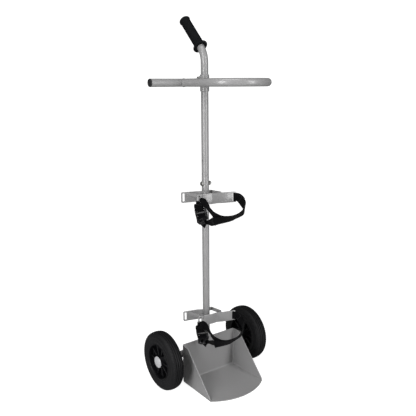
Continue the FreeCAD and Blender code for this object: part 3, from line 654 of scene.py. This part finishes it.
# %% Give the sheet its thickness
mesh = bpy.data.meshes.new("tray_sheet")
work.to_mesh(mesh)
work.free()
mesh.shade_smooth()
mesh.materials.append(grey_paint)
tray = show("tray_sheet", mesh)
wall = tray.modifiers.new("sheet", "SOLIDIFY")
wall.thickness = SHEET * MM
wall.offset = -1.0
wall.use_even_offset = True
wall.use_quality_normals = True
edge = tray.modifiers.new("edge", "BEVEL")
edge.width = 0.7 * MM
edge.segments = 3
edge.limit_method = "ANGLE"
edge.angle_limit = math.radians(55)
normals = tray.modifiers.new("normals", "WEIGHTED_NORMAL")
normals.keep_sharp = False
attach(tray, "cart")
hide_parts("tray_floor", "tray_back_plate", "tray_left_side", "tray_right_side")
print("tray sheet:", len(tray.modifiers), "modifiers")

# %% [markdown]
# ## The handle grip
# A slip-on rubber sleeve with a wide guard at the bottom and a bead at the top. Its texture is moulded rings cut by
# shallow grooves along its length, so the outline is turned in many steps and a ripple lowers the rings between the
# grooves. A bump map alone would leave the grip's edge smooth against the background.

# %% Turn the grip
BEND_Z = 1113.0
BEND_R = 70.0
BEND = math.radians(45.0)
GRIP_LEN = 129.0
RIB_PITCH = 4.2
grip_foot = at(0, -(BEND_R - BEND_R * math.cos(BEND)), BEND_Z + BEND_R * math.sin(BEND))
grip_axis = Vector((0, math.sin(BEND), math.cos(BEND)))
profile = [(0.0, TUBE_R + 0.1), (0.0, 22.2), (0.5, 23.8), (1.6, 24.8), (3.0, 25.0), (4.4, 24.4), (5.6, 22.2),
           (6.3, 18.8), (6.9, 16.6)]
rib = 8.4
while rib < GRIP_LEN - 13.5:
    profile += [(rib, 15.9), (rib + 0.5, 16.1), (rib + 1.0, 16.8), (rib + 1.6, 17.0), (rib + 2.4, 17.0),
                (rib + 3.0, 16.8), (rib + 3.5, 16.1)]
    rib += RIB_PITCH
profile += [(GRIP_LEN - 9.4, 16.0), (GRIP_LEN - 8.2, 17.2), (GRIP_LEN - 6.6, 18.5), (GRIP_LEN - 4.6, 19.0),
            (GRIP_LEN - 2.6, 18.5), (GRIP_LEN - 1.0, 16.9), (GRIP_LEN - 0.2, 14.2), (GRIP_LEN, 10.5),
            (GRIP_LEN - 0.7, 9.8), (GRIP_LEN - 0.7, 4.2), (GRIP_LEN - 0.2, 3.4), (GRIP_LEN - 0.1, 0.0),
            (GRIP_LEN - 7.6, 0.0), (GRIP_LEN - 7.6, TUBE_R + 0.1)]


def grip_ripple(x, r, a):
    """Twenty grooves cut the raised rings."""
    if r < 16.5 or x < 8 or x > GRIP_LEN - 10:
        return 0.0
    return -0.75 * max(0.0, math.cos(20 * a)) ** 4


grip = piece("handle_grip_sleeve", turned(profile, grip_foot, grip_axis, 240, grip_ripple), "handle_grip", sharp=50)
print("grip:", len(grip.data.vertices), "points")

# %% [markdown]
# ## Wheels
# Each wheel is a solid rubber tyre on a black moulded rim, with a pale cap pressed over the axle's end. The tyre's
# section is drawn once: ribs and grooves round the tread, a raised ring on each side and a bead against the rim.
# Short cuts across both shoulders need a ripple that depends on the angle. The rim has a deep dish on the outside
# with spokes in it, so its spokes are separate blanks that start inside the hub and end inside the band.

# %% Turn a tyre
RIM_R = 64.0
SHOULDER_CUTS = 72
CUT_DEPTH = 1.4


def tyre_section():
    """Half of the tyre's outline, from the middle of the tread to the rim, then mirrored."""
    half = [(0.0, 105.0), (2.6, 104.95), (3.3, 102.0), (5.0, 101.9), (5.7, 104.7), (9.6, 104.2), (10.3, 101.4),
            (11.9, 101.2), (12.6, 103.4), (16.2, 102.2), (18.6, 100.4), (20.6, 97.8), (21.6, 95.6), (22.0, 93.2),
            (22.9, 92.2), (23.5, 90.6), (23.85, 88.0), (24.0, 84.6), (23.6, 83.9), (23.6, 82.9), (24.0, 82.2),
            (23.9, 79.2), (23.5, 76.6), (23.9, 75.9), (24.0, 74.6), (23.6, 73.7), (22.9, 70.6), (22.5, 67.4),
            (22.3, 65.4), (22.0, 64.3), (20.8, RIM_R + 0.05)]
    return half + [(-x, r) for x, r in reversed(half[1:])]


def shoulder_cuts(x, r, a):
    """Short cuts across both shoulders, those of one side between those of the other."""
    if r < 95 or abs(x) < 13:
        return 0.0
    depth = max(0.0, math.cos(SHOULDER_CUTS * a + (math.pi if x > 0 else 0.0))) ** 2
    return -CUT_DEPTH * depth * min(1.0, (abs(x) - 13) / 3)


print("tyre section:", len(tyre_section()), "points")

# %% Cut a spoke
SPOKES = 10
SPOKE_FOOT = 21.0
SPOKE_W = 4.4
SPOKE_IN = 3.0
SPOKE_OUT = 14.5


def spoke(centre, side, angle, outer_r, face):
    """A tapered bar from hub to band, set in the dish on one face of the rim."""
    outline = rounded([(SPOKE_FOOT, -SPOKE_W * 0.72), (outer_r, -SPOKE_W * 0.5), (outer_r, SPOKE_W * 0.5),
                       (SPOKE_FOOT, SPOKE_W * 0.72)], 0.3, 2)
    middle = face * (SPOKE_IN + SPOKE_OUT) / 2

    def place(r, t, x):
        y = r * math.cos(angle) - t * math.sin(angle)
        z = r * math.sin(angle) + t * math.cos(angle)
        return centre + Vector((side * (x + middle), y, z)) * MM

    return placed_blank(outline, SPOKE_OUT - SPOKE_IN, 0.8, place)


print("points of a spoke:", len(spoke(at(0, 0, 0), 1, 0.0, RIM_R, 1)[0]))

# %% Build both wheels

def wheel(side, name):
    """Tyre, rim and cap, all turned about the wheel's own axis; x grows outward from the cart."""
    low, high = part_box(name + "_tyre")
    centre = (low + high) / 2
    axis = Vector((side, 0, 0))
    tyre = turned(tyre_section(), centre, axis, 288, shoulder_cuts)
    piece(name + "_tyre_rubber", tyre, name + "_tyre", sharp=42)
    band = RIM_R - 4.6
    outline = [(-28.0, 10.05), (-28.0, 20.6), (-27.2, 21.6), (-6.0, 23.4), (-4.2, 25.0), (-3.6, 30.0), (-3.6, band - 3),
               (-4.6, band), (-20.0, band + 0.4), (-22.0, band + 0.6), (-22.6, RIM_R - 1.6), (-22.2, RIM_R - 0.2),
               (-21.0, RIM_R), (21.0, RIM_R), (23.0, RIM_R - 0.2), (23.8, RIM_R - 1.0), (23.9, RIM_R - 2.0),
               (23.2, RIM_R - 3.0), (21.4, band + 0.3), (19.0, band), (6.0, band - 1.0), (4.4, band - 2.6),
               (3.6, band - 6), (3.6, 30.0), (4.6, 25.4), (6.4, 23.6), (20.6, 22.2), (21.7, 21.6), (22.0, 20.6),
               (22.0, 18.2), (10.3, 18.2), (10.3, 10.05)]
    parts = [turned(outline, centre, axis, 120)]
    for k in range(SPOKES):
        for face in (1, -1):
            parts.append(spoke(centre, side, 2 * math.pi * k / SPOKES, band + 1.5, face))
    piece(name + "_rim_moulding", joined(parts), name + "_rim", sharp=40)
    cap = [(14.0, 18.15), (22.05, 18.15), (22.05, 20.2), (22.4, 20.6), (23.2, 20.6), (24.4, 19.9), (25.2, 18.6),
           (25.5, 17.2), (25.2, 16.6), (25.2, 15.9), (25.9, 15.2), (26.5, 12.0), (26.6, 10.1), (26.2, 9.7), (26.2, 8.9),
           (26.7, 8.4), (27.0, 5.0), (27.0, 0.0), (24.8, 0.0), (24.6, 10.0), (23.6, 15.6), (14.0, 16.4)]
    piece(name + "_cap", turned(cap, centre, axis, 96), name + "_hub_cap", sharp=48)


wheel(-1, "left")
wheel(1, "right")
print("wheels: 2, each with", SPOKES, "spokes on either face")

# %% [markdown]
# ## Strap brackets
# Each bracket is a strip of steel with a slot near either end, cut flat and then bent round the front of the column,
# and a shorter wing behind it with one open slot. Two short bars tie them to the column. The blank helper cuts the
# slots with round corners before the bending, in the order a workshop does it.

# %% Bend and place the brackets
CRADLE = [(-64.0, 38.0), (-10.0, 36.5), (16.0, 37.0), (38.0, 48.0), (77.0, 72.7)]
REAR = [(-81.0, -30.5), (-30.0, -4.5), (-9.5, -3.5)]
LEFT_LEG = [(-62.6, -24.4), (-46.2, 45.2)]
RIGHT_LEG = [(33.9, 44.0), (33.0, -12.0), (10.0, -7.2)]
SLOT_H = 30.0
SLOT_W = 7.5
SLOT_CORNER = 2.4
TIP_BAR = 5.0
LEG_H = 12.0
LEG_T = 4.0


def plan_line(points, radius, up):
    """A plan path as vectors in millimetres in the frame's axes."""
    line = [at(x, f, up) / MM for x, f in points]
    return rounded_line(line, radius) if len(line) > 2 else line


def strip_length(line):
    return sum((b - a).length for a, b in zip(line, line[1:]))


def strip(name, node, path, radius, up, height, thick, edge, corners=0.0, slots=()):
    """A strip bent along a plan path; slots are (height, at the far end or not), one bar's width from their tip."""
    line = plan_line(path, radius, up)
    length = strip_length(line)
    half = height / 2
    outline = rounded([(0, -half), (length, -half), (length, half), (0, half)], corners, 5)
    holes = []
    for tall, far in slots:
        middle = TIP_BAR + SLOT_W / 2
        middle = length - middle if far else middle
        low, high = middle - SLOT_W / 2, middle + SLOT_W / 2
        holes.append(rounded([(low, -tall / 2), (high, -tall / 2), (high, tall / 2), (low, tall / 2)], SLOT_CORNER, 4))
    piece(name, bent_plate(outline, holes, thick, edge, line, (0, 0, 1)), node)


def bracket(level, up):
    strip(level + "_front_strip", level + "_cradle", CRADLE, 14.0, up, PLATE_H, PLATE_T, 0.6, 3.2,
          [(SLOT_H, False), (SLOT_H, True)])
    strip(level + "_rear_wing", level + "_rear_plate", REAR, 12.0, up, PLATE_H, PLATE_T, 0.6, [5.0, 0.5, 0.5, 5.0],
          [(SLOT_H - 2, False)])
    for name, path, radius in (("_left_leg", LEFT_LEG, 6.0), ("_right_leg", RIGHT_LEG, 7.0)):
        strip(level + name + "_bar", level + name, path, radius, up + (PLATE_H - LEG_H) / 2, LEG_H, LEG_T, 0.5)


for level, up in LEVELS.items():
    bracket(level, up)
print("brackets:", 2 * len(LEVELS), "plates and", 2 * len(LEVELS), "bars")

# %% [markdown]
# ## Weld beads
# Tubes and plates are joined by narrow welds that are painted over. A bead is a thin rod with a slight ripple along
# the line where two parts meet. For two tubes of one size that line is a saddle, which follows from the circle of the
# one tube and its distance to the axis of the other.

# %% Lay the weld beads
BEAD_R = 1.1
COLLAR_R = 15.25
BAR_FORWARD = 27.0
BAR_UP = 1050.0
BAR_SEAT = 16.3
HOOP_X = 104.0
AXLE_UP = 105.0
TRAY_WELDS = (58, 108)
TRAY_WELD_LEN = 26


def saddle(centre, branch, main):
    """The line where a branch tube meets a main tube of its own size; centre is on both axes, in metres."""
    third = branch.cross(main)
    points = []
    for k in range(72):
        t = 2 * math.pi * k / 72
        c, s = math.cos(t), math.sin(t)
        points.append(centre + (branch * abs(c) + main * c + third * s) * (TUBE_R + 0.1) * MM)
    return points


def bead(name, points, body="cart", closed=False):
    piece(name, rod(points, BEAD_R, 10, closed, 0.12, 3.2), body=body, slot="grey_paint")


sideways = Vector((1, 0, 0))
for side, name in ((-1, "left"), (1, "right")):
    hoop_end = at(side * HOOP_X, BAR_FORWARD, BAR_UP)
    bead("hoop_weld_" + name, saddle(hoop_end, Vector((0, -1, 0)), sideways), "crossbar", True)
    bead("axle_weld_" + name, saddle(at(0, 0, AXLE_UP), sideways * side, Vector((0, 0, 1))), closed=True)
    for low in TRAY_WELDS:
        rises = range(0, TRAY_WELD_LEN + 1, 2)
        bead("tray_weld_%s_%d" % (name, low), [at(side * 4.6, 12.0, low + rise) for rise in rises])
for above, name in ((-6.4, "lower"), (6.4, "upper")):
    line = [at(x, (BAR_SEAT + math.sqrt(COLLAR_R ** 2 - x * x)) / 2, BAR_UP + above) for x in range(-8, 9)]
    bead("collar_weld_" + name, line, "crossbar")
for level, up in LEVELS.items():
    bead(level + "_wing_weld", [at(-12.9, -1.0, up + rise) for rise in range(-16, 17, 2)])
    bead(level + "_leg_weld", [at(12.0, -4.4, up + rise) for rise in range(8, 18, 2)])
print("welds laid")

# %% [markdown]
# ## Webbing
# A strap is a flat woven band that bends easily one way, so its shape is a line with a width direction at each
# point. The section has round selvedges and is a little thinner just inside them. The weave needs to know where it
# is on the band, so each point keeps two values, along and across, that the webbing's finish reads.

# %% Smooth a route


def smooth(points, per=8):
    """Catmull-Rom points through a list of equally long tuples."""
    out = []
    n = len(points)
    for i in range(n - 1):
        p0, p1, p2, p3 = points[max(i - 1, 0)], points[i], points[i + 1], points[min(i + 2, n - 1)]
        for k in range(per):
            t = k / per
            out.append(tuple(0.5 * (2 * b + (c - a) * t + (2 * a - 5 * b + 4 * c - d) * t * t
                                    + (3 * b - a - 3 * c + d) * t ** 3) for a, b, c, d in zip(p0, p1, p2, p3)))
    out.append(tuple(points[-1]))
    return out


print("stations of 3 points when smoothed:", len(smooth([(0.0,), (1.0,), (2.0,)])))

# %% Lay webbing along a route


def webbing_section():
    """Half-thicknesses across the band, out on one face and back on the other."""
    half, t = WEBBING_W / 2, WEBBING_T / 2
    top = [(-half + 0.1, 0.35 * t), (-half + 0.5, 0.85 * t), (-half + 1.2, t), (-half + 2.4, 0.86 * t)]
    for k in range(1, 8):
        top.append((-half + 2.4 + (WEBBING_W - 4.8) * k / 8, 0.9 * t))
    top += [(-x, y) for x, y in reversed(top[:4])]
    return top + [(x, -y) for x, y in reversed(top)]


def band_frames(stations, up):
    """Place, tangent, width and outward vectors, share of the full width and distance along a band.

    A station is (x, forward, rise, width x, forward, up), and a seventh value below 1 bunches the band."""
    rows = smooth([row if len(row) > 6 else row + (1.0,) for row in stations])
    frames = []
    travelled = 0.0
    last = None
    for i, row in enumerate(rows):
        a, b = rows[max(i - 1, 0)], rows[min(i + 1, len(rows) - 1)]
        place = at(row[0], row[1], up + row[2])
        tangent = (at(*b[:3]) - at(*a[:3])).normalized()
        wide = Vector((row[3], -row[4], row[5]))
        wide = (wide - tangent * wide.dot(tangent)).normalized()
        travelled += (place - last).length / MM if last else 0.0
        last = place
        frames.append((place, tangent, wide, tangent.cross(wide), row[6], travelled))
    return frames


def lay_webbing(stations, up):
    """Points, faces and the along and across values of a band through its stations."""
    frames = band_frames(stations, up)
    section = webbing_section()
    verts, alongs, acrosses = [], [], []
    for place, tangent, wide, out, share, travelled in frames:
        for w, t in section:
            swell = t * (1.6 - 0.6 * share)
            verts.append(place + (wide * w * share + out * swell) * MM)
            alongs.append(travelled)
            acrosses.append(w + (100.0 if t < 0 else 0.0))
    around = len(section)
    faces = ring_faces(len(frames), around, False)
    faces += [tuple(range(around)), tuple(range((len(frames) - 1) * around, len(frames) * around))]
    return verts, faces, alongs, acrosses


def webbing_piece(name, stations, up, node):
    """A band as one piece, with the values that the weave reads."""
    verts, faces, alongs, acrosses = lay_webbing(stations, up)
    piece(name, (verts, faces), node, sharp=60, values={"along": alongs, "across": acrosses})


print("webbing section:", len(webbing_section()), "points")

# %% The buckle's own axes: x across the webbing, y out towards the user, z up
BUCKLE_AT = (-63.4, 47.4, -11.0)
BUCKLE_TURN = math.radians(128.0)
BUCKLE_LEAN = math.radians(13.0)
STRAP_Y = -5.0


def buckle_vector(x, y, z):
    """A local direction of the buckle as (x, forward, up)."""
    x1 = x * math.cos(BUCKLE_LEAN) + z * math.sin(BUCKLE_LEAN)
    z1 = -x * math.sin(BUCKLE_LEAN) + z * math.cos(BUCKLE_LEAN)
    return (x1 * math.cos(BUCKLE_TURN) - y * math.sin(BUCKLE_TURN),
            -(x1 * math.sin(BUCKLE_TURN) + y * math.cos(BUCKLE_TURN)), z1)


def buckle_point(x, y, z):
    v = buckle_vector(x, y, z)
    return (v[0] + BUCKLE_AT[0], v[1] + BUCKLE_AT[1], v[2] + BUCKLE_AT[2])


print("buckle at:", [round(v) for v in buckle_point(0, 0, 0)])

# %% [markdown]
# The main strap is sewn round the right slot's bar, falls round the front in a slack curve and enters the buckle from
# below. Its tail leaves over the buckle's roller and lies along the inside of the front. A second short band holds
# the buckle in the left slot; it twists a quarter turn between the upright slot and the hanging buckle.

# %% Routes of the three bands, from the column's axis in millimetres
UP = (0.0, 0.0, 1.0)
ACROSS = buckle_vector(1.0, 0.0, 0.0)
LOOP_MIDDLE = (10.0, 105.0)


def leaning(x, forward, rise, degrees, sign=1.0):
    """A station whose width direction leans out from the middle of the loop; sign -1 for an upside-down band."""
    across, out = x - LOOP_MIDDLE[0], forward - LOOP_MIDDLE[1]
    lean = math.radians(degrees)
    spread = math.sin(lean) / math.hypot(across, out)
    return (x, forward, rise, sign * across * spread, sign * out * spread, sign * math.cos(lean))


STRAP_ROUTE = [
    (81.0, 77.4, -1.5) + UP, leaning(84.0, 86.5, -7.0, 8), leaning(84.0, 98.0, -15.0, 16),
    leaning(80.0, 113.0, -24.0, 14), leaning(70.0, 128.0, -31.0, 8), leaning(54.0, 141.0, -36.0, 10),
    leaning(33.0, 151.0, -40.0, 24), leaning(10.0, 157.0, -44.0, 36), leaning(-12.0, 157.0, -48.0, 36),
    leaning(-32.0, 150.0, -51.0, 34), leaning(-47.0, 137.0, -54.0, 26), leaning(-54.5, 121.0, -58.0, 12),
    (-49.0, 106.0, -65.0, -0.3, -0.3, 0.8), (-39.0, 87.0, -71.5, -0.5, -0.6, 0.4),
    buckle_point(-9.0, STRAP_Y, -74.0) + ACROSS, buckle_point(0, STRAP_Y, -64.0) + ACROSS,
    buckle_point(0, STRAP_Y, -50.0) + ACROSS, buckle_point(0, STRAP_Y, -32.0) + ACROSS]
TAIL_ROUTE = [
    buckle_point(0, STRAP_Y, -31.6) + ACROSS, buckle_point(0, -3.6, -24.4) + ACROSS,
    buckle_point(0, 2.0, -22.6) + ACROSS, buckle_point(0, 7.5, -21.4) + ACROSS, buckle_point(0, 12.5, -13.0) + ACROSS,
    buckle_point(-2.0, 14.0, -3.0) + (-0.4, -0.5, -0.45), (-68.0, 72.0, 0.0, -0.2, -0.2, -0.9),
    leaning(-63.0, 86.0, -6.0, 8, -1.0), leaning(-61.0, 98.0, -16.0, 14, -1.0),
    leaning(-60.0, 109.0, -26.0, 20, -1.0), leaning(-56.0, 121.0, -36.0, 26, -1.0),
    leaning(-47.0, 131.5, -43.5, 32, -1.0), leaning(-33.5, 143.5, -48.5, 36, -1.0),
    leaning(-13.0, 151.5, -49.5, 36, -1.0), leaning(8.0, 152.0, -48.0, 36, -1.0)]
print("stations of the strap and of its tail:", len(STRAP_ROUTE), len(TAIL_ROUTE))

# %% Loop a band round the bar of a slot
LOOP_R = 4.3
SLOT_REACH = 6.6


def plan_unit(a, b):
    length = math.hypot(b[0] - a[0], b[1] - a[1])
    return ((b[0] - a[0]) / length, (b[1] - a[1]) / length)


def bar_loop(tip, direction, count=12):
    """Points in plan round the outer bar of a slot: from its back face through the slot to its front face."""
    centre = (tip[0] - direction[0] * TIP_BAR / 2, tip[1] - direction[1] * TIP_BAR / 2)
    normal = (direction[1], -direction[0])
    points = []
    for k in range(count):
        a = math.radians(50.0 - 280.0 * k / (count - 1))
        c, s = LOOP_R * math.cos(a), math.sin(a)
        s *= LOOP_R if s > 0 else SLOT_REACH
        points.append((centre[0] + normal[0] * c + direction[0] * s, centre[1] + normal[1] * c + direction[1] * s))
    return points


RIGHT_OUT = plan_unit(CRADLE[-2], CRADLE[-1])
SEWN_LAYER = [leaning(86.4, 96.5, -13.6, 15), leaning(86.7, 88.0, -7.6, 9), (84.4, 79.0, -2.4) + UP]


def main_strap():
    """The sewn layer on the outside, the loop round the right slot's bar, then the strap itself."""
    ring = [(x, f, -0.6) + UP for x, f in bar_loop(CRADLE[-1], RIGHT_OUT)]
    return SEWN_LAYER + ring + STRAP_ROUTE


for level, up in LEVELS.items():
    webbing_piece(level + "_webbing", main_strap(), up, level + "_strap")
    webbing_piece(level + "_webbing_tail", TAIL_ROUTE, up, level + "_strap_tail")
print("stations of the strap with its loop:", len(main_strap()))

# %% [markdown]
# The short band that holds the buckle has slid down in its slot and lies bunched in the lower half, so daylight shows
# above it. A flat band of full width would fill the slot, so this one is narrowed and thickened at the slot and eased
# back to its full width on its way down to the buckle's bar.

# %% The buckle's short band
LEFT_OUT = plan_unit(CRADLE[1], CRADLE[0])
BUNCHED = 0.42


def hanger_route():
    """The band lies bunched in the lower half of its slot and spreads to its full width on the buckle's bar."""
    ring = [(x, f, -8.5) + UP + (BUNCHED,) for x, f in bar_loop(CRADLE[0], LEFT_OUT)]
    back = tuple(-v for v in ACROSS)
    fall = [(-69.6, 42.4, -10.5, 0.3, 0.35, 0.9, 0.5), (-70.2, 44.6, -14.0, 0.5, 0.6, 0.5, 0.65),
            buckle_point(0, 0.6, -11.0) + back + (0.85,), buckle_point(0, 0.0, -16.5) + back + (1.0,)]
    return ring + fall


for level, up in LEVELS.items():
    webbing_piece(level + "_buckle_webbing", hanger_route(), up, level + "_buckle_strap")
print("webbing laid:", len(LEVELS) * 3, "bands")

# %% [markdown]
# Where the strap's end is sewn back on itself, a box of short stitches goes through both layers. Each stitch is a
# little rod of thread that lies on the band, so it sits on the same frames as the band does.

# %% Stitches on the sewn ends


def stitches(route, up, first=2.0, count=5, pitch=2.6, inset=10.5):
    """Stitch rows near both edges of a band and one across it, on its outward side."""
    frames = band_frames(route, up)
    parts = []
    for k in range(count):
        place, tangent, wide, out = min(frames, key=lambda f: abs(f[5] - (first + k * pitch)))[:4]
        lift = out * (WEBBING_T / 2 + 0.1) * MM
        marks = [(w, tangent) for w in (-inset, inset)]
        if k == count - 1:
            marks += [(j * 3.2, wide) for j in range(-3, 4)]
        for w, run in marks:
            middle = place + wide * w * MM + lift
            parts.append(rod([middle - run * MM, middle, middle + run * MM], 0.42, 6))
    return parts


for level, up in LEVELS.items():
    parts = stitches(STRAP_ROUTE, up) + stitches(SEWN_LAYER, up)
    piece(level + "_stitches", joined(parts), level + "_strap", skin=thread, extra=True)
print("stitches:", len(parts), "on each strap")

# %% [markdown]
# ## Cam buckles
# A cam buckle is a small cast frame, a pin and a toothed lever that bites the webbing. The frame's cheeks are blanks
# with an arched outline, joined by a round bar on top and two bars below that the strap enters between. The lever is
# a short toothed drum with a bent tongue. Everything is placed through the buckle's own leaning axes.

# %% The buckle's pin and drum
FRAME_HALF = 19.0
CHEEK_T = 3.2
PIN_AT = (2.0, -30.0)
PIN_R = 2.0
DRUM_R = 5.2


def buckle_place(x, y, z, up):
    v = buckle_point(x, y, z)
    return at(v[0], v[1], up + v[2])


def across_prism(outline, x_low, x_high, edge, up):
    """An outline in the buckle's (y, z), cut from plate and laid across between two x values."""
    middle = (x_low + x_high) / 2
    return placed_blank(outline, x_high - x_low, edge, lambda y, z, x: buckle_place(x + middle, y, z, up))


def drum_outline():
    """A round drum with teeth on the side that bites the strap."""
    points = []
    for k in range(48):
        a = 2 * math.pi * k / 48
        bite = math.cos(a - math.pi) > 0.1
        r = DRUM_R - (0.8 if bite and k % 4 in (2, 3) else 0.0)
        points.append((PIN_AT[0] + r * math.cos(a), PIN_AT[1] + r * math.sin(a)))
    return points


print("drum outline:", len(drum_outline()), "points")

# %% Cast the frame, bend the lever and place both buckles


def casting(up):
    """Two cheeks, a bar on top and two below; each outline is in the buckle's (y, z)."""
    cheek = rounded([(-7.5, -15.5), (3.0, -15.5), (5, -24), (6.6, -30), (5, -38), (4.4, -57), (-8.4, -57)],
                    [5.0, 5.0, 6.0, 6.0, 6.0, 5.0, 5.0], 5)
    parts = [across_prism(cheek, -FRAME_HALF, CHEEK_T - FRAME_HALF, 0.8, up),
             across_prism(cheek, FRAME_HALF - CHEEK_T, FRAME_HALF, 0.8, up)]
    inside = FRAME_HALF - 2.0
    top = rounded([(-6.4, -16.0), (2.6, -16.0), (2.6, -21.0), (-6.4, -21.0)], 2.4, 5)
    front = rounded([(-3.3, -49.2), (4.2, -49.2), (4.2, -56.4), (-3.3, -56.4)], 2.6, 5)
    back = rounded([(-8.3, -49.2), (-6.7, -49.2), (-6.7, -56.4), (-8.3, -56.4)], 0.7, 3)
    return joined(parts + [across_prism(bar, -inside, inside, 0.1, up) for bar in (top, front, back)])


def lever(up):
    """The toothed drum with its bent tongue, which has an opening for a finger."""
    half = FRAME_HALF - 3.6
    y, z = PIN_AT
    line = [Vector((0, y + out, z + rise)) for out, rise in ((2.6, 1.0), (5.6, -8.0), (7.0, -27.0), (7.9, -38.0))]
    line = rounded_line(line, 18.0, 5)
    length = strip_length(line)
    outline = rounded([(0, -half), (length * 0.55, -half), (length * 0.72, -half * 0.82), (length, -half * 0.72),
                       (length, half * 0.72), (length * 0.72, half * 0.82), (length * 0.55, half), (0, half)],
                      [0.5, 6.0, 6.0, 5.0, 5.0, 6.0, 6.0, 0.5], 5)
    hole = rounded([(length * 0.5, -5.5), (length * 0.78, -4.5), (length * 0.78, 4.5), (length * 0.5, 5.5)], 3.0, 4)
    verts, faces = bent_plate(outline, [hole], 2.4, 0.7, line, (1, 0, 0))
    tongue = [buckle_place(*(v / MM), up) for v in verts], faces
    return joined([across_prism(drum_outline(), -half, half, 0.3, up), tongue])


def buckle(level, up):
    piece(level + "_buckle_casting", casting(up), level + "_buckle_frame")
    pin = [(PIN_AT[0] + PIN_R * math.cos(a), PIN_AT[1] + PIN_R * math.sin(a))
           for a in [2 * math.pi * k / 24 for k in range(24)]]
    reach = FRAME_HALF + 0.3
    piece(level + "_buckle_rivet", across_prism(pin, -reach, reach, 0.5, up), level + "_buckle_pin")
    piece(level + "_cam_lever", lever(up), level + "_buckle_cam")


for level, up in LEVELS.items():
    buckle(level, up)
print("buckles made:", len(LEVELS))

# %% [markdown]
# ## Stage, light and camera
# The picture this is set against has a plain white ground. A white floor under these lights would still come out
# grey, so the floor is a wide pale sheet that also glows, but only to the camera: the cart isn't lit by it.

# %% Floor
ground = bpy.data.meshes.new("floor")
FLOOR_REACH = 40.0
corners = [(x * FLOOR_REACH, y * FLOOR_REACH, 0) for x, y in ((-1, -1), (1, -1), (1, 1), (-1, 1))]
ground.from_pydata(corners, [], [(0, 1, 2, 3)])
floor = show("floor", ground)
paper = bpy.data.materials.new("paper")
paper.use_nodes = True
tree = paper.node_tree
shader = tree.nodes["Principled BSDF"]
shader.inputs["Base Color"].default_value = (0.5, 0.5, 0.5, 1)
shader.inputs["Roughness"].default_value = 1.0
shader.inputs["Specular IOR Level"].default_value = 0.0
shader.inputs["Emission Color"].default_value = (1, 1, 1, 1)
seen = add(tree, "ShaderNodeLightPath").outputs["Is Camera Ray"]
place = add(tree, "ShaderNodeTexCoord").outputs["Object"]
away = add(tree, "ShaderNodeVectorMath", {0: place}, operation="LENGTH").outputs["Value"]
glow = add(tree, "ShaderNodeMapRange", {"Value": away, "From Min": 1.0, "From Max": 5.0, "To Min": 0.88,
                                        "To Max": 1.1}).outputs[0]
tree.links.new(maths(tree, "MULTIPLY", seen, glow), shader.inputs["Emission Strength"])
floor.data.materials.append(paper)

print("floor:", 2 * FLOOR_REACH, "m wide")

# %% [markdown]
# The camera stands where the picture was taken from: chest high, well to the left of the cart's front, looking
# slightly down. A small shift of the lens then sets the cart at its height in the frame.

# %% Camera at the picture's place
EYE = Vector((-1.1304, -1.401, 1.0453))
AZIMUTH = math.radians(36.92)
PITCH = math.radians(14.812)
ROLL = math.radians(-0.35)
lens = bpy.data.cameras.new("camera")
lens.lens = 48.10
lens.shift_y = 0.0555
lens.sensor_width = 36.0
camera = show("camera", lens)
looking = Vector((math.sin(AZIMUTH) * math.cos(PITCH), math.cos(AZIMUTH) * math.cos(PITCH), -math.sin(PITCH)))
camera.location = EYE
camera.rotation_mode = "QUATERNION"
upright = looking.to_track_quat("-Z", "Y")
camera.rotation_quaternion = upright @ Matrix.Rotation(ROLL, 3, "Z").to_quaternion()
bpy.context.scene.camera = camera

print("camera: %.1f mm lens, %.2f m from the origin" % (lens.lens, EYE.length))

# %% [markdown]
# Two tall soft lights, left and right of the camera, give the tubes their pair of upright highlights. A weak one from
# above keeps the tray readable, and a low even light from all round lifts the shadows.

# %% Lights
AIM = Vector((0, COLUMN_Y * MM, 0.6))


def softbox(name, place, width, height, power):
    """A rectangular light that looks at the cart."""
    data = bpy.data.lights.new(name, "AREA")
    data.shape = "RECTANGLE"
    data.size = width
    data.size_y = height
    data.energy = power
    lamp = show(name, data)
    lamp.location = place
    lamp.rotation_mode = "QUATERNION"
    lamp.rotation_quaternion = (AIM - Vector(place)).to_track_quat("-Z", "Y")


softbox("left box", (-1.95, -0.6, 1.05), 0.62, 2.5, 46)
softbox("right box", (0.62, -2.1, 1.05), 0.62, 2.5, 40)
softbox("top box", (-0.6, -0.4, 3.4), 1.6, 1.6, 27)
world = bpy.data.worlds.new("studio")
world.use_nodes = True
tree = world.node_tree
seen = add(tree, "ShaderNodeLightPath").outputs["Is Camera Ray"]
fill = add(tree, "ShaderNodeMapRange", {"Value": seen, "To Min": 0.15, "To Max": 1.2}).outputs[0]
tree.links.new(fill, tree.nodes["Background"].inputs["Strength"])
tree.nodes["Background"].inputs["Color"].default_value = (1, 1, 1, 1)
bpy.context.scene.world = world
bpy.context.scene.view_settings.view_transform = "Standard"
print("lights:", len(bpy.data.lights))
